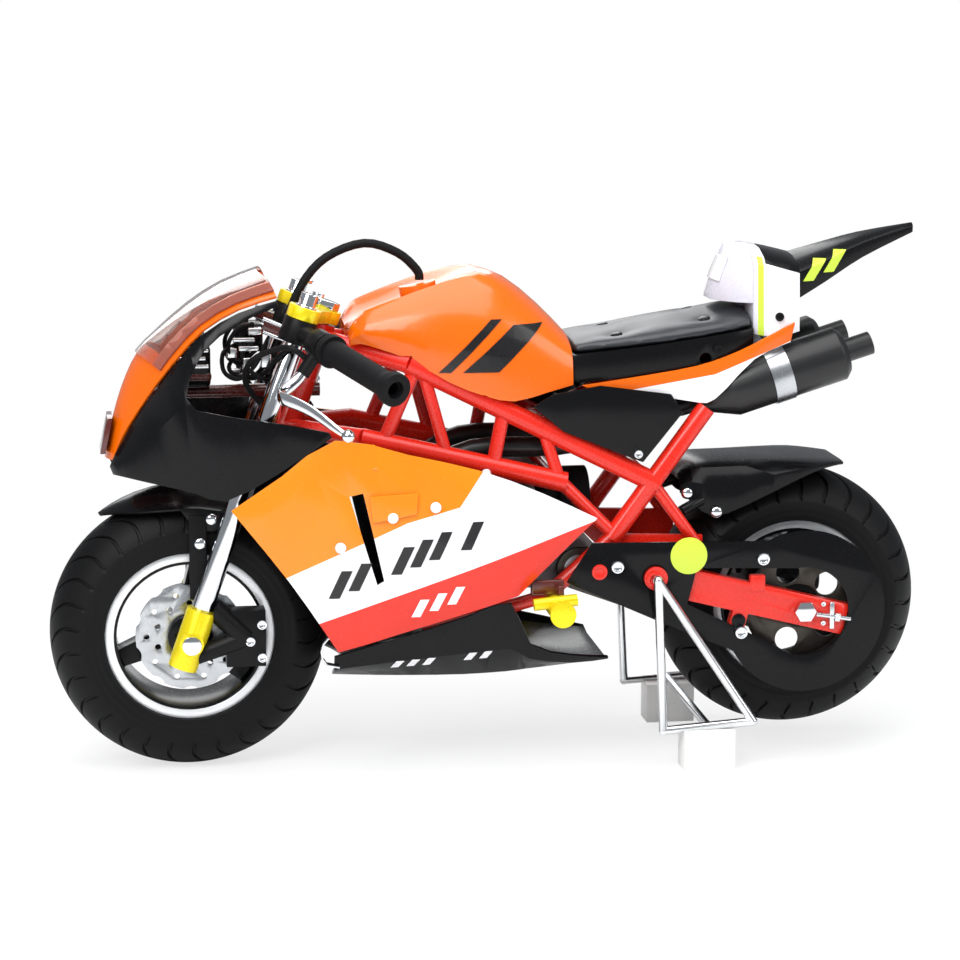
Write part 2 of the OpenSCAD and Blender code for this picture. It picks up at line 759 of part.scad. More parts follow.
module frame_side() {
    past_share = 1.03;
    rod(upper_start, between(upper_start, upper_bend, past_share), neck_tube_d);
    rod(upper_bend, between(upper_bend, upper_joint, past_share), tube_d);
    rod(lower_start, between(lower_start, lower_bend, past_share), neck_tube_d);
    rod(lower_bend, between(lower_bend, lower_end, past_share), tube_d);
    rod(between(lower_bend, lower_end, 0.11), between(upper_bend, upper_joint, 0.03), strut_d);
    rod(between(upper_bend, upper_joint, 0.06), between(lower_bend, lower_end, 0.43), thin_strut_d);
    rod(between(upper_bend, upper_joint, 0.39), between(lower_bend, lower_end, 0.66), strut_d);
    rod(between(upper_bend, upper_joint, 0.55), lower_end, thin_strut_d);
    rod(lower_end, seat_foot, strut_d);
    rod(seat_top, between(seat_top, seat_foot, past_share), seat_tube_d);
    rod(upper_joint, rear_foot, thin_strut_d);
    rod(seat_foot, between(seat_foot, cradle_bend, past_share), cradle_d);
    rod(cradle_bend, cradle_end, strut_d);
    rod(rail_start, rail_end, rail_d);
    side_plate(plate_y, plate_out_y) polygon(side_spots(plate_shares));
}

module frame() {
    color("#a81f1c") difference() {
        union() {
            both_sides() frame_side();
            for (at = [tank_cross, lower_end, seat_foot, rail_start, upper_joint])
                cross_rod(at, -frame_y, frame_y, cross_d);
            cross_rod(rail_cross, -rail_cross[1], rail_cross[1], cross_d);
            on_fork() translate([-fork_offset, 0, head_low_s])
                cylinder(d = head_d, h = head_high_s - head_low_s);
            cross_rod(pivot_at, -pivot_len / 2, pivot_len / 2, pivot_d);
        }
        on_fork() translate([-fork_offset, 0, 0]) cylinder(d = stem_d + 2 * run_gap, h = fork_len);
        both_sides() cross_rod(pivot_at, pivot_len / 2 - 2 * pin_len, pivot_len, pin_d + 2 * clamp_gap);
    }
}

// Swingarm: two flat legs from the cross tube to the rear axle
module arm_plan() {
    lean = atan2(pivot_at[2] - rear_axle_z, pivot_at[0]);
    span = norm(pivot_at - rear_axle_at);
    tail = 0.28 * span;
    tab = 0.4 * span;
    tab_h = 0.95 * arm_h;
    translate([0, rear_axle_z]) rotate(lean) {
        translate([-tail, -arm_h / 2]) square([span + tail, arm_h]);
        translate([span, 0]) circle(0.72 * arm_h);
        translate([tab - arm_h / 4, -tab_h]) square([arm_h / 2, tab_h]);
    }
}

module swingarm() {
    color("#a81f1c") both_sides() difference() {
        side_plate(arm_y, arm_y + arm_t) arm_plan();
        cross_rod(pivot_at, 0, pivot_len, pivot_d + 2 * clamp_gap);
        cross_rod(rear_axle_at, 0, pivot_len, axle_d + 2 * clamp_gap);
    }
}

// Chain guard with a drop-shaped opening round the axle
guard_front_shares = [[0.354, 0.474], [0.01, 0.466], [0, 0.15], [0.085, 0.222], [0.245, 0.308],
    [0.396, 0.394]];

module chain_guard() {
    loop_r = 1.5 * sprocket_r;
    eye_r = 0.82 * sprocket_r;
    rise = pivot_at[2] - rear_axle_z;
    post_d = 1.2 * axle_d;
    plate_post = [0.31 * wheelbase, 0, 0.446 * body_h];
    tab_share = 0.4;
    tab_drop = 0.75 * arm_h;
    tab_post = between(rear_axle_at, pivot_at, tab_share) + [0.2 * arm_h, 0, -tab_drop];
    color("#1a1a1a") {
        side_plate(guard_y, guard_y + guard_t) difference() {
            union() {
                translate([0, rear_axle_z]) circle(loop_r);
                polygon(side_spots(guard_front_shares));
            }
            translate([0, rear_axle_z]) circle(eye_r);
            translate([0, rear_axle_z]) rotate(atan2(rise, pivot_at[0]))
                polygon([
                    [0, eye_r], [0, -eye_r], [0.78 * pivot_at[0], -0.6 * arm_h],
                    [0.78 * pivot_at[0], 0.6 * arm_h]
                ]);
            translate([pivot_at[0], pivot_at[2]]) circle(pivot_d / 2 + seat_gap);
        }
        cross_rod(plate_post, plate_out_y + seat_gap, guard_y + guard_t / 2, post_d);
        cross_rod(tab_post, arm_y + arm_t + seat_gap / 2, guard_y + guard_t / 2, post_d);
    }
}

// Rear mudguard
rear_guard_shares = [
    [0.20, 0.60, 0.585, 0.560], [0.18, 0.64, 0.612, 0.540], [0.145, 0.65, 0.618, 0.510],
    [0.09, 0.65, 0.618, 0.532],
    [0.0, 0.64, 0.617, 0.584], [-0.04, 0.56, 0.615, 0.600], [-0.083, 0.40, 0.610, 0.604]
];

module rear_fender() {
    stay_d = 0.8 * strut_d;
    rows = [
        for (r = smooth(rear_guard_shares, 2))
            let (x = r[0] * wheelbase, w = r[1] * body_half_w, top = r[2] * body_h, low = r[3] * body_h)
            let (half = [[0, top], [0.5 * w, top], [0.85 * w, between(top, low, 0.08)],
                [w, between(top, low, 0.4)], [w, low]])
            concat([for (p = reversed(half)) [x, -p[0], p[1]]],
                [for (k = [1:4]) [x, half[k][0], half[k][1]]])
    ];
    stay_root = [0.165 * wheelbase, 0.63 * body_half_w, 0.545 * body_h];
    strut_at = between(upper_joint, rear_foot, 0.55);
    stay_end = strut_at - (thin_strut_d / 2 + 5 * seat_gap) * unit(strut_at - stay_root);
    color("#1b1b1b") {
        panel(rows, wall);
        both_sides() rod(stay_root, stay_end, stay_d);
    }
}

// Engine, air filter and exhaust
engine_half_w = 0.58 * body_half_w;
engine_from = [0.336 * wheelbase, 0, 0.25 * body_h];
engine_len = 0.29 * wheelbase;
engine_h = 0.2 * body_h;
barrel_at = [0.5 * wheelbase, 0, 0.45 * body_h];
barrel_w = 0.13 * wheelbase;
barrel_h = 0.17 * body_h;

module engine_block() {
    lug_h = 0.14 * body_h;
    lug_at = between(cradle_bend, cradle_end, 0.6);
    sump_from = 0.54 * engine_len;
    deck_h = 0.4 * engine_h;
    lug_len = 0.08 * wheelbase;
    color("#6d6f72") difference() {
        union() {
            translate(engine_from + [0, -engine_half_w, engine_h - deck_h])
                cube([engine_len, 2 * engine_half_w, deck_h]);
            translate(engine_from + [sump_from, -engine_half_w, 0])
                cube([engine_len - sump_from, 2 * engine_half_w, engine_h]);
            both_sides() translate([lug_at[0] - lug_len / 2, 0, engine_from[2]])
                cube([lug_len, lug_at[1], lug_h]);
            cross_rod([engine_from[0] + 0.75 * engine_len, 0, engine_from[2] + 0.5 * engine_h],
                -1.14 * engine_half_w, 0, 0.9 * engine_h);
        }
        both_sides() {
            rod(seat_foot, between(seat_foot, cradle_bend, 1.04), cradle_d + 2 * clamp_gap);
            rod(cradle_bend, cradle_end, strut_d + 2 * clamp_gap);
        }
        cross_rod(drive_at, 0, 2 * chain_y, axle_d + 2 * clamp_gap);
    }
}

module engine_cylinder() {
    fins = 7;
    fin_t = 0.5 * barrel_h / fins;
    core_share = 0.72;
    core_w = core_share * barrel_w;
    color("#8a8c8f") {
        translate(barrel_at - [core_w / 2, core_w / 2, 0]) cube([core_w, core_w, barrel_h]);
        for (k = [1:fins])
            translate(barrel_at + [-barrel_w / 2, -barrel_w / 2, k * barrel_h / fins - fin_t])
                cube([barrel_w, barrel_w, fin_t]);
    }
}

module air_filter() {
    d = 0.13 * body_h;
    at = [barrel_at[0] - 0.5 * barrel_w, 0, barrel_at[2] + 0.5 * barrel_h];
    stub = 0.05 * wheelbase;
    color("#202022") {
        translate(at - [stub, 0, 0]) rotate([0, 90, 0]) cylinder(d = 0.5 * d, h = stub - seat_gap);
        translate(at - [1.9 * stub, 0, 0]) rotate([0, 90, 0]) cylinder(d = d, h = stub);
    }
}

muffler_from = [0.171 * wheelbase, muffler_y, 0.746 * body_h];
muffler_to = [-0.076 * wheelbase, muffler_y, 0.842 * body_h];
muffler_neck_share = 0.24;

module muffler_turn() {
    v = muffler_to - muffler_from;
    translate(muffler_from) rotate([0, -90 + atan2(v[2], -v[0]), 0]) children();
}

module mufflers() {
    span = norm(muffler_to - muffler_from);
    neck = muffler_neck_share * span;
    neck_r = 0.4 * muffler_r;
    step = 0.08 * span;
    lip = 1.6 * outlet_d;
    color("#191919") both_sides() muffler_turn() difference() {
        union() {
            rotate_extrude() polygon([
                [0, 0], [neck_r, 0], [muffler_r, neck], [muffler_r, span - step / 2],
                [muffler_r - step / 2, span], [0, span]
            ]);
            cylinder(d = outlet_d + 2 * wall, h = span + lip);
        }
        translate([0, 0, span - step]) cylinder(d = outlet_d, h = span);
    }
}

module muffler_bands() {
    span = norm(muffler_to - muffler_from);
    band_share = 0.48;
    band_len = 0.13 * span;
    color("#c9ccd0") both_sides() muffler_turn() translate([0, 0, band_share * span]) difference() {
        cylinder(r = muffler_r + wall / 2, h = band_len);
        translate([0, 0, -band_len]) cylinder(r = muffler_r + clamp_gap, h = 3 * band_len);
    }
}

exhaust_shares = [
    [0.5676, 0.27, 0.545], [0.592, 0.275, 0.546], [0.612, 0.40, 0.60], [0.54, 0.46, 0.655],
    [0.40, 0.46, 0.66],
    [0.27, 0.50, 0.69]
];

module exhaust_pipe() {
    pipe_d = 0.75 * muffler_r;
    back = unit(muffler_to - muffler_from);
    stop = muffler_from - seat_gap * back;
    ends = [for (reach = [1, 0.5, 0]) stop - reach * muffler_r * back];
    color("#7d7468") both_sides() cord(concat(spots(exhaust_shares), ends), pipe_d, 12, [0, 1, 0.1]);
}

// Tank, seat and tail
// Columns: x, then y and z of the low edge, flank and ridge, then z on the middle line
tank_shares = [
    [0.738, 0.54, 0.874, 0.58, 0.886, 0.45, 0.906, 0.896],
    [0.722, 0.62, 0.879, 0.68, 0.900, 0.49, 0.936, 0.914],
    [0.700, 0.66, 0.872, 0.72, 0.900, 0.52, 0.950, 0.924],
    [0.648, 0.76, 0.850, 0.80, 0.896, 0.55, 0.974, 0.948],
    [0.584, 0.84, 0.804, 0.87, 0.880, 0.54, 1.000, 0.986],
    [0.528, 0.86, 0.776, 0.88, 0.860, 0.50, 1.010, 1.014],
    [0.480, 0.86, 0.764, 0.86, 0.850, 0.52, 0.976, 0.998],
    [0.424, 0.82, 0.780, 0.80, 0.840, 0.56, 0.914, 0.942],
    [0.382, 0.76, 0.792, 0.74, 0.824, 0.58, 0.866, 0.888]
];

function tank_half(r) = smooth([
    [0, r[7] * body_h],
    [0.55 * r[5] * body_half_w, between(r[7], r[6], 0.25) * body_h],
    [r[5] * body_half_w, r[6] * body_h],
    [between(r[5], r[3], 0.72) * body_half_w, between(r[6], r[4], 0.42) * body_h],
    [r[3] * body_half_w, r[4] * body_h],
    [r[1] * body_half_w, r[2] * body_h]
], 2);

module tank_cover() {
    room_d = 1.75 * head_d;
    grown = tube_d + 2 * seat_gap;
    color("#dd5a12") difference() {
        loft([for (r = smooth(tank_shares, 2)) cross_ring(r[0] * wheelbase, tank_half(r))]);
        both_sides() {
            rod(upper_start, between(upper_start, upper_bend, 1.05), grown);
            rod(between(upper_bend, upper_joint, -0.01), upper_joint, grown);
        }
        on_fork() translate([-fork_offset, 0, 0]) cylinder(d = room_d, h = 2 * fork_len);
        cross_rod(tank_cross, -2 * frame_y, 2 * frame_y, cross_d + 2 * seat_gap);
    }
}

cap_at = [0.616 * wheelbase, 0, 0.958 * body_h];

module tank_cap() {
    cap_d = 0.38 * body_half_w;
    cap_h = 0.14 * body_half_w;
    color("#202020") difference() {
        translate(cap_at) rotate([0, 11, 0]) cylinder(d = cap_d, h = cap_h);
        loft([for (r = smooth(tank_shares, 2)) cross_ring(r[0] * wheelbase, tank_half(r))]);
    }
}

hose_shares = [
    [0.620, 0, 1.012], [0.652, 0, 1.048], [0.706, 0, 1.068], [0.768, 0, 1.040], [0.808, 0, 0.985],
    [0.834, 0, 0.910], [0.856, 0, 0.845]
];

module breather_hose() {
    foot = stay_from + [0, 0, stay_d / 2 + seat_gap];
    start = cap_at + [0, 0, 0.17 * body_half_w];
    color("#111111") cord(concat([start], spots(hose_shares), [foot + [0, 0, hose_d], foot]), hose_d,
        12, [0, 1, 0]);
}

// Columns: x, half width, z of the edge, z of the crown
pad_shares = [
    [0.380, 0.63, 0.868, 0.876], [0.320, 0.69, 0.876, 0.886], [0.240, 0.74, 0.888, 0.902],
    [0.160, 0.75, 0.902, 0.922], [0.115, 0.71, 0.910, 0.932], [0.083, 0.64, 0.916, 0.938]
];

module seat_pad() {
    rings = [
        for (r = smooth(pad_shares, 2))
            let (w = r[1] * body_half_w, edge = r[2] * body_h, top = r[3] * body_h)
            cross_ring(r[0] * wheelbase, [
                [0, top], [0.45 * w, between(top, edge, 0.16)], [0.8 * w, between(top, edge, 0.55)],
                [0.97 * w, edge], [w, edge - 0.35 * pad_t], [0.98 * w, edge - pad_t]
            ])
    ];
    color("#17171a") loft(rings);
}

// Columns: x, half width, z of the low edge, z of the pad edge
seat_base_shares = [
    [0.380, 0.69, 0.792, 0.868], [0.320, 0.735, 0.800, 0.876], [0.240, 0.745, 0.808, 0.888],
    [0.160, 0.745, 0.824, 0.902], [0.115, 0.72, 0.846, 0.910], [0.083, 0.66, 0.866, 0.916]
];

module seat_base() {
    rings = [
        for (r = smooth(seat_base_shares, 2))
            let (w = r[1] * body_half_w, top = r[3] * body_h - pad_t - seat_gap, low = r[2] * body_h)
            cross_ring(r[0] * wheelbase, [[0, top], [w, top], [w, low], [0.5 * w, low]])
    ];
    color("#1c1c1e") difference() {
        loft(rings);
        cross_rod(rail_cross, -frame_y, frame_y, cross_d + 2 * seat_gap);
        both_sides() rod(rail_start, rail_end + seat_gap * unit(rail_end - rail_start),
            rail_d + 2 * seat_gap);
    }
}

// Top and low edge of a tail side
tail_shares = [
    [[0.368, 0.755, 0.790], [0.345, 0.765, 0.778]], [[0.28, 0.785, 0.806], [0.285, 0.79, 0.776]],
    [[0.18, 0.790, 0.826], [0.19, 0.79, 0.754]], [[0.11, 0.770, 0.854], [0.150, 0.785, 0.757]],
    [[0.05, 0.725, 0.888], [0.085, 0.750, 0.835]], [[0.014, 0.670, 0.908], [0.022, 0.680, 0.868]]
];

module tail_sides() {
    rows = [for (row = tail_shares) [spot(row[0]), between(spot(row[0]), spot(row[1]), 0.5), spot(row[1])]];
    post_at = between(rail_start, rail_end, 0.54);
    post_d = 0.7 * strut_d;
    color("#e9e7e2") both_sides() {
        panel(smooth(rows, panel_steps), wall);
        cross_rod(post_at, post_at[1] + rail_d / 2 + seat_gap, 0.775 * body_half_w, post_d);
    }
}

// Columns: x, half width low, z low, half width at the edge, z edge, z crown
hump_shares = [
    [0.081, 0.60, 0.884, 0.56, 1.024, 1.062], [0.042, 0.62, 0.877, 0.56, 1.018, 1.052],
    [0.004, 0.60, 0.888, 0.56, 1.008, 1.040]
];
// Rounded front of the hump over the end of the pad
hump_front_shares = [
    [0.138, 0.16, 0.946, 0.14, 0.952, 0.962], [0.124, 0.33, 0.946, 0.29, 0.986, 1.004],
    [0.106, 0.47, 0.946, 0.42, 1.012, 1.060], [0.078, 0.57, 0.946, 0.535, 1.020, 1.060]
];

hump_bar = [0.045 * wheelbase, 0.665 * body_half_w, 0.88 * body_h];

function hump_rings(rows) = [
    for (r = rows)
        cross_ring(r[0] * wheelbase, [
            [0, r[5] * body_h], [0.45 * r[3] * body_half_w, between(r[5], r[4], 0.14) * body_h],
            [0.84 * r[3] * body_half_w, between(r[5], r[4], 0.55) * body_h],
            [r[3] * body_half_w, r[4] * body_h], [r[1] * body_half_w, r[2] * body_h]
        ])
];

module tail_hump() {
    color("#efede8") {
        loft(hump_rings(smooth(hump_shares, 2)));
        loft(hump_rings(hump_front_shares));
        cross_rod(hump_bar, -hump_bar[1], hump_bar[1], strut_d);
    }
}

// Columns: x, half width, z low, z edge, z crown
wing_shares = [
    [0.004, 0.55, 0.952, 1.008, 1.040], [-0.045, 0.45, 0.984, 1.030, 1.056],
    [-0.115, 0.27, 1.030, 1.062, 1.078], [-0.208, 0.05, 1.076, 1.090, 1.096]
];

module tail_wing() {
    rings = [
        for (r = smooth(wing_shares, 3))
            let (w = r[1] * body_half_w)
            cross_ring(r[0] * wheelbase - seat_gap, [
                [0, r[4] * body_h], [0.6 * w, between(r[4], r[3], 0.4) * body_h], [w, r[3] * body_h],
                [0.94 * w, r[2] * body_h]
            ])
    ];
    color("#1a1a1a") loft(rings);
}

cover_shares = [
    [0.45, 0.752], [0.418, 0.776], [0.34, 0.792], [0.225, 0.772], [0.205, 0.734], [0.27, 0.634],
    [0.40, 0.70]
];

module side_covers() {
    out_y = 0.87 * body_half_w;
    post_d = 0.8 * strut_d;
    color("#1d1d1d") both_sides() {
        side_plate(out_y - wall, out_y) polygon(side_spots(cover_shares));
        for (share = [0.16, 0.32]) {
            at = between(rail_start, rail_end, share);
            cross_rod(at, at[1] + rail_d / 2 + seat_gap, out_y - wall / 2, post_d);
        }
    }
}

// Nose: hood in the middle, dark cheeks at the sides, clear screen above
// Columns: left edge x, y, z, then x and z on the middle line and how flat the middle is
hood_shares = [
    [1.118, 0.26, 0.644, 1.130, 0.644, 2.4], [1.104, 0.32, 0.690, 1.120, 0.704, 2.4],
    [1.082, 0.40, 0.738, 1.109, 0.756, 2.4], [1.054, 0.50, 0.792, 1.094, 0.808, 2.4],
    [1.034, 0.56, 0.826, 1.075, 0.853, 3], [1.013, 0.62, 0.860, 1.043, 0.892, 5],
    [0.973, 0.70, 0.916, 0.992, 0.944, 5], [0.918, 0.77, 0.958, 0.938, 0.985, 5],
    [0.858, 0.80, 0.982, 0.880, 1.012, 5]
];
hood_cols = 6;
screen_row = 4;
screen_share = 0.94;
opening_share = 0.84;

function hood_point(r, c) = [
    between(r[3], r[0], c * c) * wheelbase,
    c * r[1] * body_half_w,
    between(r[4], r[2], pow(abs(c), r[5])) * body_h
];
function hood_grid(rows, reach) = [
    for (r = rows) [for (k = [-hood_cols:hood_cols]) hood_point(r, reach * k / hood_cols)]
];
hood_rows = smooth(hood_shares, 2);

module front_cowl() {
    first = 2 * screen_row + 1;
    last = len(hood_rows) - 1;
    edge = [for (k = [first:last]) hood_point(hood_rows[k], opening_share)];
    front = [for (k = [-hood_cols:hood_cols]) hood_point(hood_rows[first], opening_share * k / hood_cols)];
    back = wheelbase / 4;
    color("#dd5a12") difference() {
        panel(hood_grid(hood_rows, 1), wall);
        linear_extrude(2 * body_h) polygon(concat(
            [for (p = front) [p[0], p[1]]],
            [for (p = edge) [p[0], p[1]]],
            [[edge[len(edge) - 1][0] - back, edge[len(edge) - 1][1]],
            [edge[len(edge) - 1][0] - back, -edge[len(edge) - 1][1]]],
            [for (p = reversed(edge)) [p[0], -p[1]]]
        ));
    }
}

module windscreen() {
    rows = [for (k = [2 * screen_row:len(hood_rows) - 1]) hood_rows[k]];
    lift = 1.25 * screen_wall + seat_gap;
    color("#d9c3bb", 0.5) panel(moved_grid(hood_grid(rows, screen_share), lift), screen_wall);
}

// Top line, crease and low line of a cheek
cheek_shares = [
    [[1.120, 0.26, 0.650], [1.123, 0.28, 0.632], [1.118, 0.30, 0.616]],
    [[1.104, 0.32, 0.690], [1.104, 0.42, 0.652], [1.101, 0.46, 0.616]],
    [[1.082, 0.40, 0.738], [1.080, 0.58, 0.678], [1.075, 0.60, 0.612]],
    [[1.054, 0.50, 0.792], [1.053, 0.74, 0.710], [1.040, 0.75, 0.606]],
    [[1.013, 0.62, 0.860], [1.005, 0.95, 0.772], [0.992, 0.90, 0.596]],
    [[0.973, 0.70, 0.916], [0.960, 0.99, 0.790], [0.944, 0.97, 0.580]],
    [[0.918, 0.77, 0.958], [0.899, 1.03, 0.800], [0.864, 1.03, 0.632]],
    [[0.858, 0.80, 0.982], [0.832, 1.06, 0.820], [0.776, 1.07, 0.706]]
];
cheek_cut_shares = [
    [1.003, 0.786], [0.986, 0.762], [0.93, 0.748], [0.874, 0.738], [0.827, 0.728], [0.752, 0.708],
        [0.752, 1.02],
    [0.845, 0.968], [0.898, 0.940], [0.947, 0.904], [0.974, 0.872], [0.995, 0.824]
];

module nose_cheeks() {
    rows = [for (row = cheek_shares) [for (s = row) spot(s) - [0, 0, s == row[0] ? 1.5 * wall : 0]]];
    color("#191919") both_sides() difference() {
        panel(smooth(rows, 2), wall);
        side_plate(0, 2 * body_half_w) polygon(side_spots(cheek_cut_shares));
    }
}

module nose_plate() {
    plate_w = 0.5 * body_half_w;
    plate_thick = 1.8 * wall;
    low = [1.129 * wheelbase, 0.656 * body_h];
    high = [1.1166 * wheelbase, 0.728 * body_h];
    color("#5a1e1a") side_plate(-plate_w / 2, plate_w / 2)
        polygon([low, high, high + [plate_thick, 0], low + [plate_thick, 0]]);
}

// Stay from the head tube that carries the nose
stay_d = 0.65 * tube_d;
stay_from = [0.862 * wheelbase, 0, 0.772 * body_h];

module nose_stay() {
    reach = [1.0935 * wheelbase, 0, stay_from[2]];
    bar_x = 1.0112 * wheelbase;
    half = 0.749 * body_half_w;
    color("#202020") difference() {
        union() {
            rod(stay_from - [1.5 * head_d, 0, 0], reach, stay_d);
            cross_rod([bar_x, 0, stay_from[2]], -half, half, stay_d);
        }
        on_fork() translate([-fork_offset, 0, 0]) cylinder(d = head_d + 2 * clamp_gap, h = fork_len);
    }
}

// Side fairings: top line, swell and low line
fairing_shares = [
    [[0.936, 1.01, 0.562], [0.845, 1.08, 0.416], [0.768, 1.00, 0.268]],
    [[0.856, 1.05, 0.630], [0.784, 1.10, 0.456], [0.720, 1.02, 0.284]],
    [[0.771, 1.07, 0.700], [0.720, 1.12, 0.500], [0.672, 1.03, 0.302]],
    [[0.656, 1.06, 0.668], [0.637, 1.12, 0.494], [0.621, 1.04, 0.320]],
    [[0.541, 1.04, 0.632], [0.554, 1.10, 0.484], [0.570, 1.04, 0.338]],
    [[0.440, 0.99, 0.582], [0.477, 1.05, 0.470], [0.520, 1.03, 0.356]],
    [[0.346, 0.93, 0.524], [0.410, 0.98, 0.452], [0.477, 1.01, 0.372]]
];
vent_shares = [[0.750, 0.588], [0.728, 0.594], [0.695, 0.414], [0.706, 0.406]];

// Place along the lower tube and length of the posts that carry a fairing
fairing_post_shares = [[0.05, 0.483], [0.62, 0.378]];

module side_fairings() {
    post_dir = unit([0, 0.85, -0.53]);
    rows = [for (row = smooth([for (r = fairing_shares) spots(r)], 2)) smooth(row, panel_steps)];
    post_d = 0.7 * strut_d;
    color("#dd5a12") both_sides() {
        difference() {
            panel(rows, wall);
            side_plate(body_half_w / 2, 2 * body_half_w) polygon(side_spots(vent_shares));
        }
        for (row = fairing_post_shares) {
            at = between(lower_bend, lower_end, row[0]);
            rod(at + (tube_d / 2 + 4 * seat_gap) * post_dir, at + row[1] * body_half_w * post_dir, post_d);
        }
    }
}

// Belly pan columns: x, then half width and z of the top, knee and floor
belly_shares = [
    [0.774, 0.99, 0.258, 0.95, 0.230, 0.64, 0.206], [0.704, 1.01, 0.282, 0.97, 0.240, 0.66, 0.202],
    [0.640, 1.02, 0.304, 0.98, 0.248, 0.68, 0.200], [0.560, 1.03, 0.334, 0.98, 0.256, 0.68, 0.198],
    [0.488, 1.00, 0.358, 0.97, 0.262, 0.66, 0.200], [0.456, 0.97, 0.270, 0.93, 0.238, 0.62, 0.202],
    [0.384, 0.90, 0.240, 0.84, 0.222, 0.58, 0.208], [0.320, 0.72, 0.226, 0.70, 0.221, 0.50, 0.214]
];

module belly_pan() {
    sweep_r = 0.95 * front_r;
    post_d = 1.2 * strut_d;
    floor_z = belly_shares[2][6] * body_h + 0.3 * wall;
    rows = [
        for (r = smooth(belly_shares, 2))
            let (x = r[0] * wheelbase)
            let (half = [for (k = [1, 3, 5]) [r[k] * body_half_w, r[k + 1] * body_h]])
            concat(
                [for (p = half) [x, p[0], p[1]]], [[x, 0, half[2][1]]],
                [for (p = reversed(half)) [x, -p[0], p[1]]]
            )
    ];
    color("#1a1a1a") difference() {
        union() {
            panel(rows, wall);
            both_sides() for (x = [0.53 * wheelbase, 0.6 * wheelbase])
                translate([x, 0.3 * body_half_w, floor_z])
                    cylinder(d = post_d, h = engine_from[2] - seat_gap - floor_z);
        }
        translate([wheelbase - fork_offset, 0, 0]) cylinder(r = sweep_r, h = body_h);
    }
}

// Footpegs on short brackets
peg_at = [0.414 * wheelbase, 0, 0.348 * body_h];

module footpegs() {
    from = frame_y + cradle_d / 2 + seat_gap;
    color("#c7a31f") both_sides() {
        cross_rod(peg_at, from, from + peg_len, peg_d);
        cross_rod(peg_at, from + peg_len, from + 1.08 * peg_len, 1.2 * peg_d);
    }
}

// Rear caliper on the right swingarm leg
module rear_caliper() {
    at = rear_axle_at + [0.42 * rear_disc_d, 0, 0.2 * rear_disc_d];
    side = 0.36 * rear_disc_d;
    slot_in = -chain_y - seat_gap - clamp_gap;
    color("#2a2623") translate([at[0] - side / 2, -arm_y + seat_gap, at[2] - side / 2])
        cube([side, arm_y - seat_gap + slot_in, side]);
}

// Wire stand with block feet
stand_front = [0.238 * wheelbase, 1.06 * body_half_w, foot_h];
stand_back = [0.088 * wheelbase, 1.04 * body_half_w, 1.14 * foot_h];
stand_mid_share = 0.5;

module stand_wire() {
    knee_d = 1.06 * wire_d;
    apex = pivot_at + [0, pivot_len / 2 + wire_d, 0];
    mid = between(stand_front, stand_back, stand_mid_share);
    color("#c9ccd0") {
        both_sides() {
            rod(apex, stand_front, wire_d);
            rod(stand_front, stand_back, wire_d);
            rod(stand_back, apex, wire_d);
            for (p = [apex, stand_front, stand_back]) translate(p) sphere(d = knee_d);
            cross_rod(pivot_at, pivot_len / 2 - pin_len, apex[1], pin_d);
        }
        cross_rod(mid, -mid[1], mid[1], wire_d);
    }
}

module stand_feet() {
    mid = between(stand_front, stand_back, stand_mid_share);
    grown = wire_d + 2 * clamp_gap;
    color("#e4e4e0") both_sides() difference() {
        translate([mid[0] - foot_len / 2, mid[1] - 0.7 * foot_w, 0]) cube([foot_len, foot_w, foot_h]);
        rod(stand_front, stand_back, grown);
        cross_rod(mid, -mid[1], mid[1], grown);
    }
}

place() front_tyre();
place() front_rim();
place() front_disc();
place() rear_tyre();
place() rear_rim();
place() rear_disc();
place() rear_sprocket();
place() drive_sprocket();
place() chain();
place() front_axle_bolt();
place() rear_axle_bolt();
place() fork_tubes();
place() fork_clamps();
place() upper_yoke();
place() lower_yoke();
place() steering_stem();
place() handlebars();
place() grips();
place() lever_perches();
place() levers();
place() front_fender();
place() front_caliper();
place() steering_cables();
place() frame();
place() swingarm();
place() chain_guard();
place() rear_fender();
place() engine_block();
place() engine_cylinder();
place() air_filter();
place() mufflers();
place() muffler_bands();
place() exhaust_pipe();
place() tank_cover();
place() tank_cap();
place() breather_hose();
place() seat_pad();
place() seat_base();
place() tail_sides();
place() tail_hump();
place() tail_wing();
place() side_covers();
place() front_cowl();
place() windscreen();
place() nose_cheeks();
place() nose_plate();
place() nose_stay();
place() side_fairings();
place() belly_pan();
place() footpegs();
place() rear_caliper();
place() stand_wire();
place() stand_feet();
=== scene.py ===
import bpy
import json
import math
import numpy as np
from mathutils import Matrix, Vector

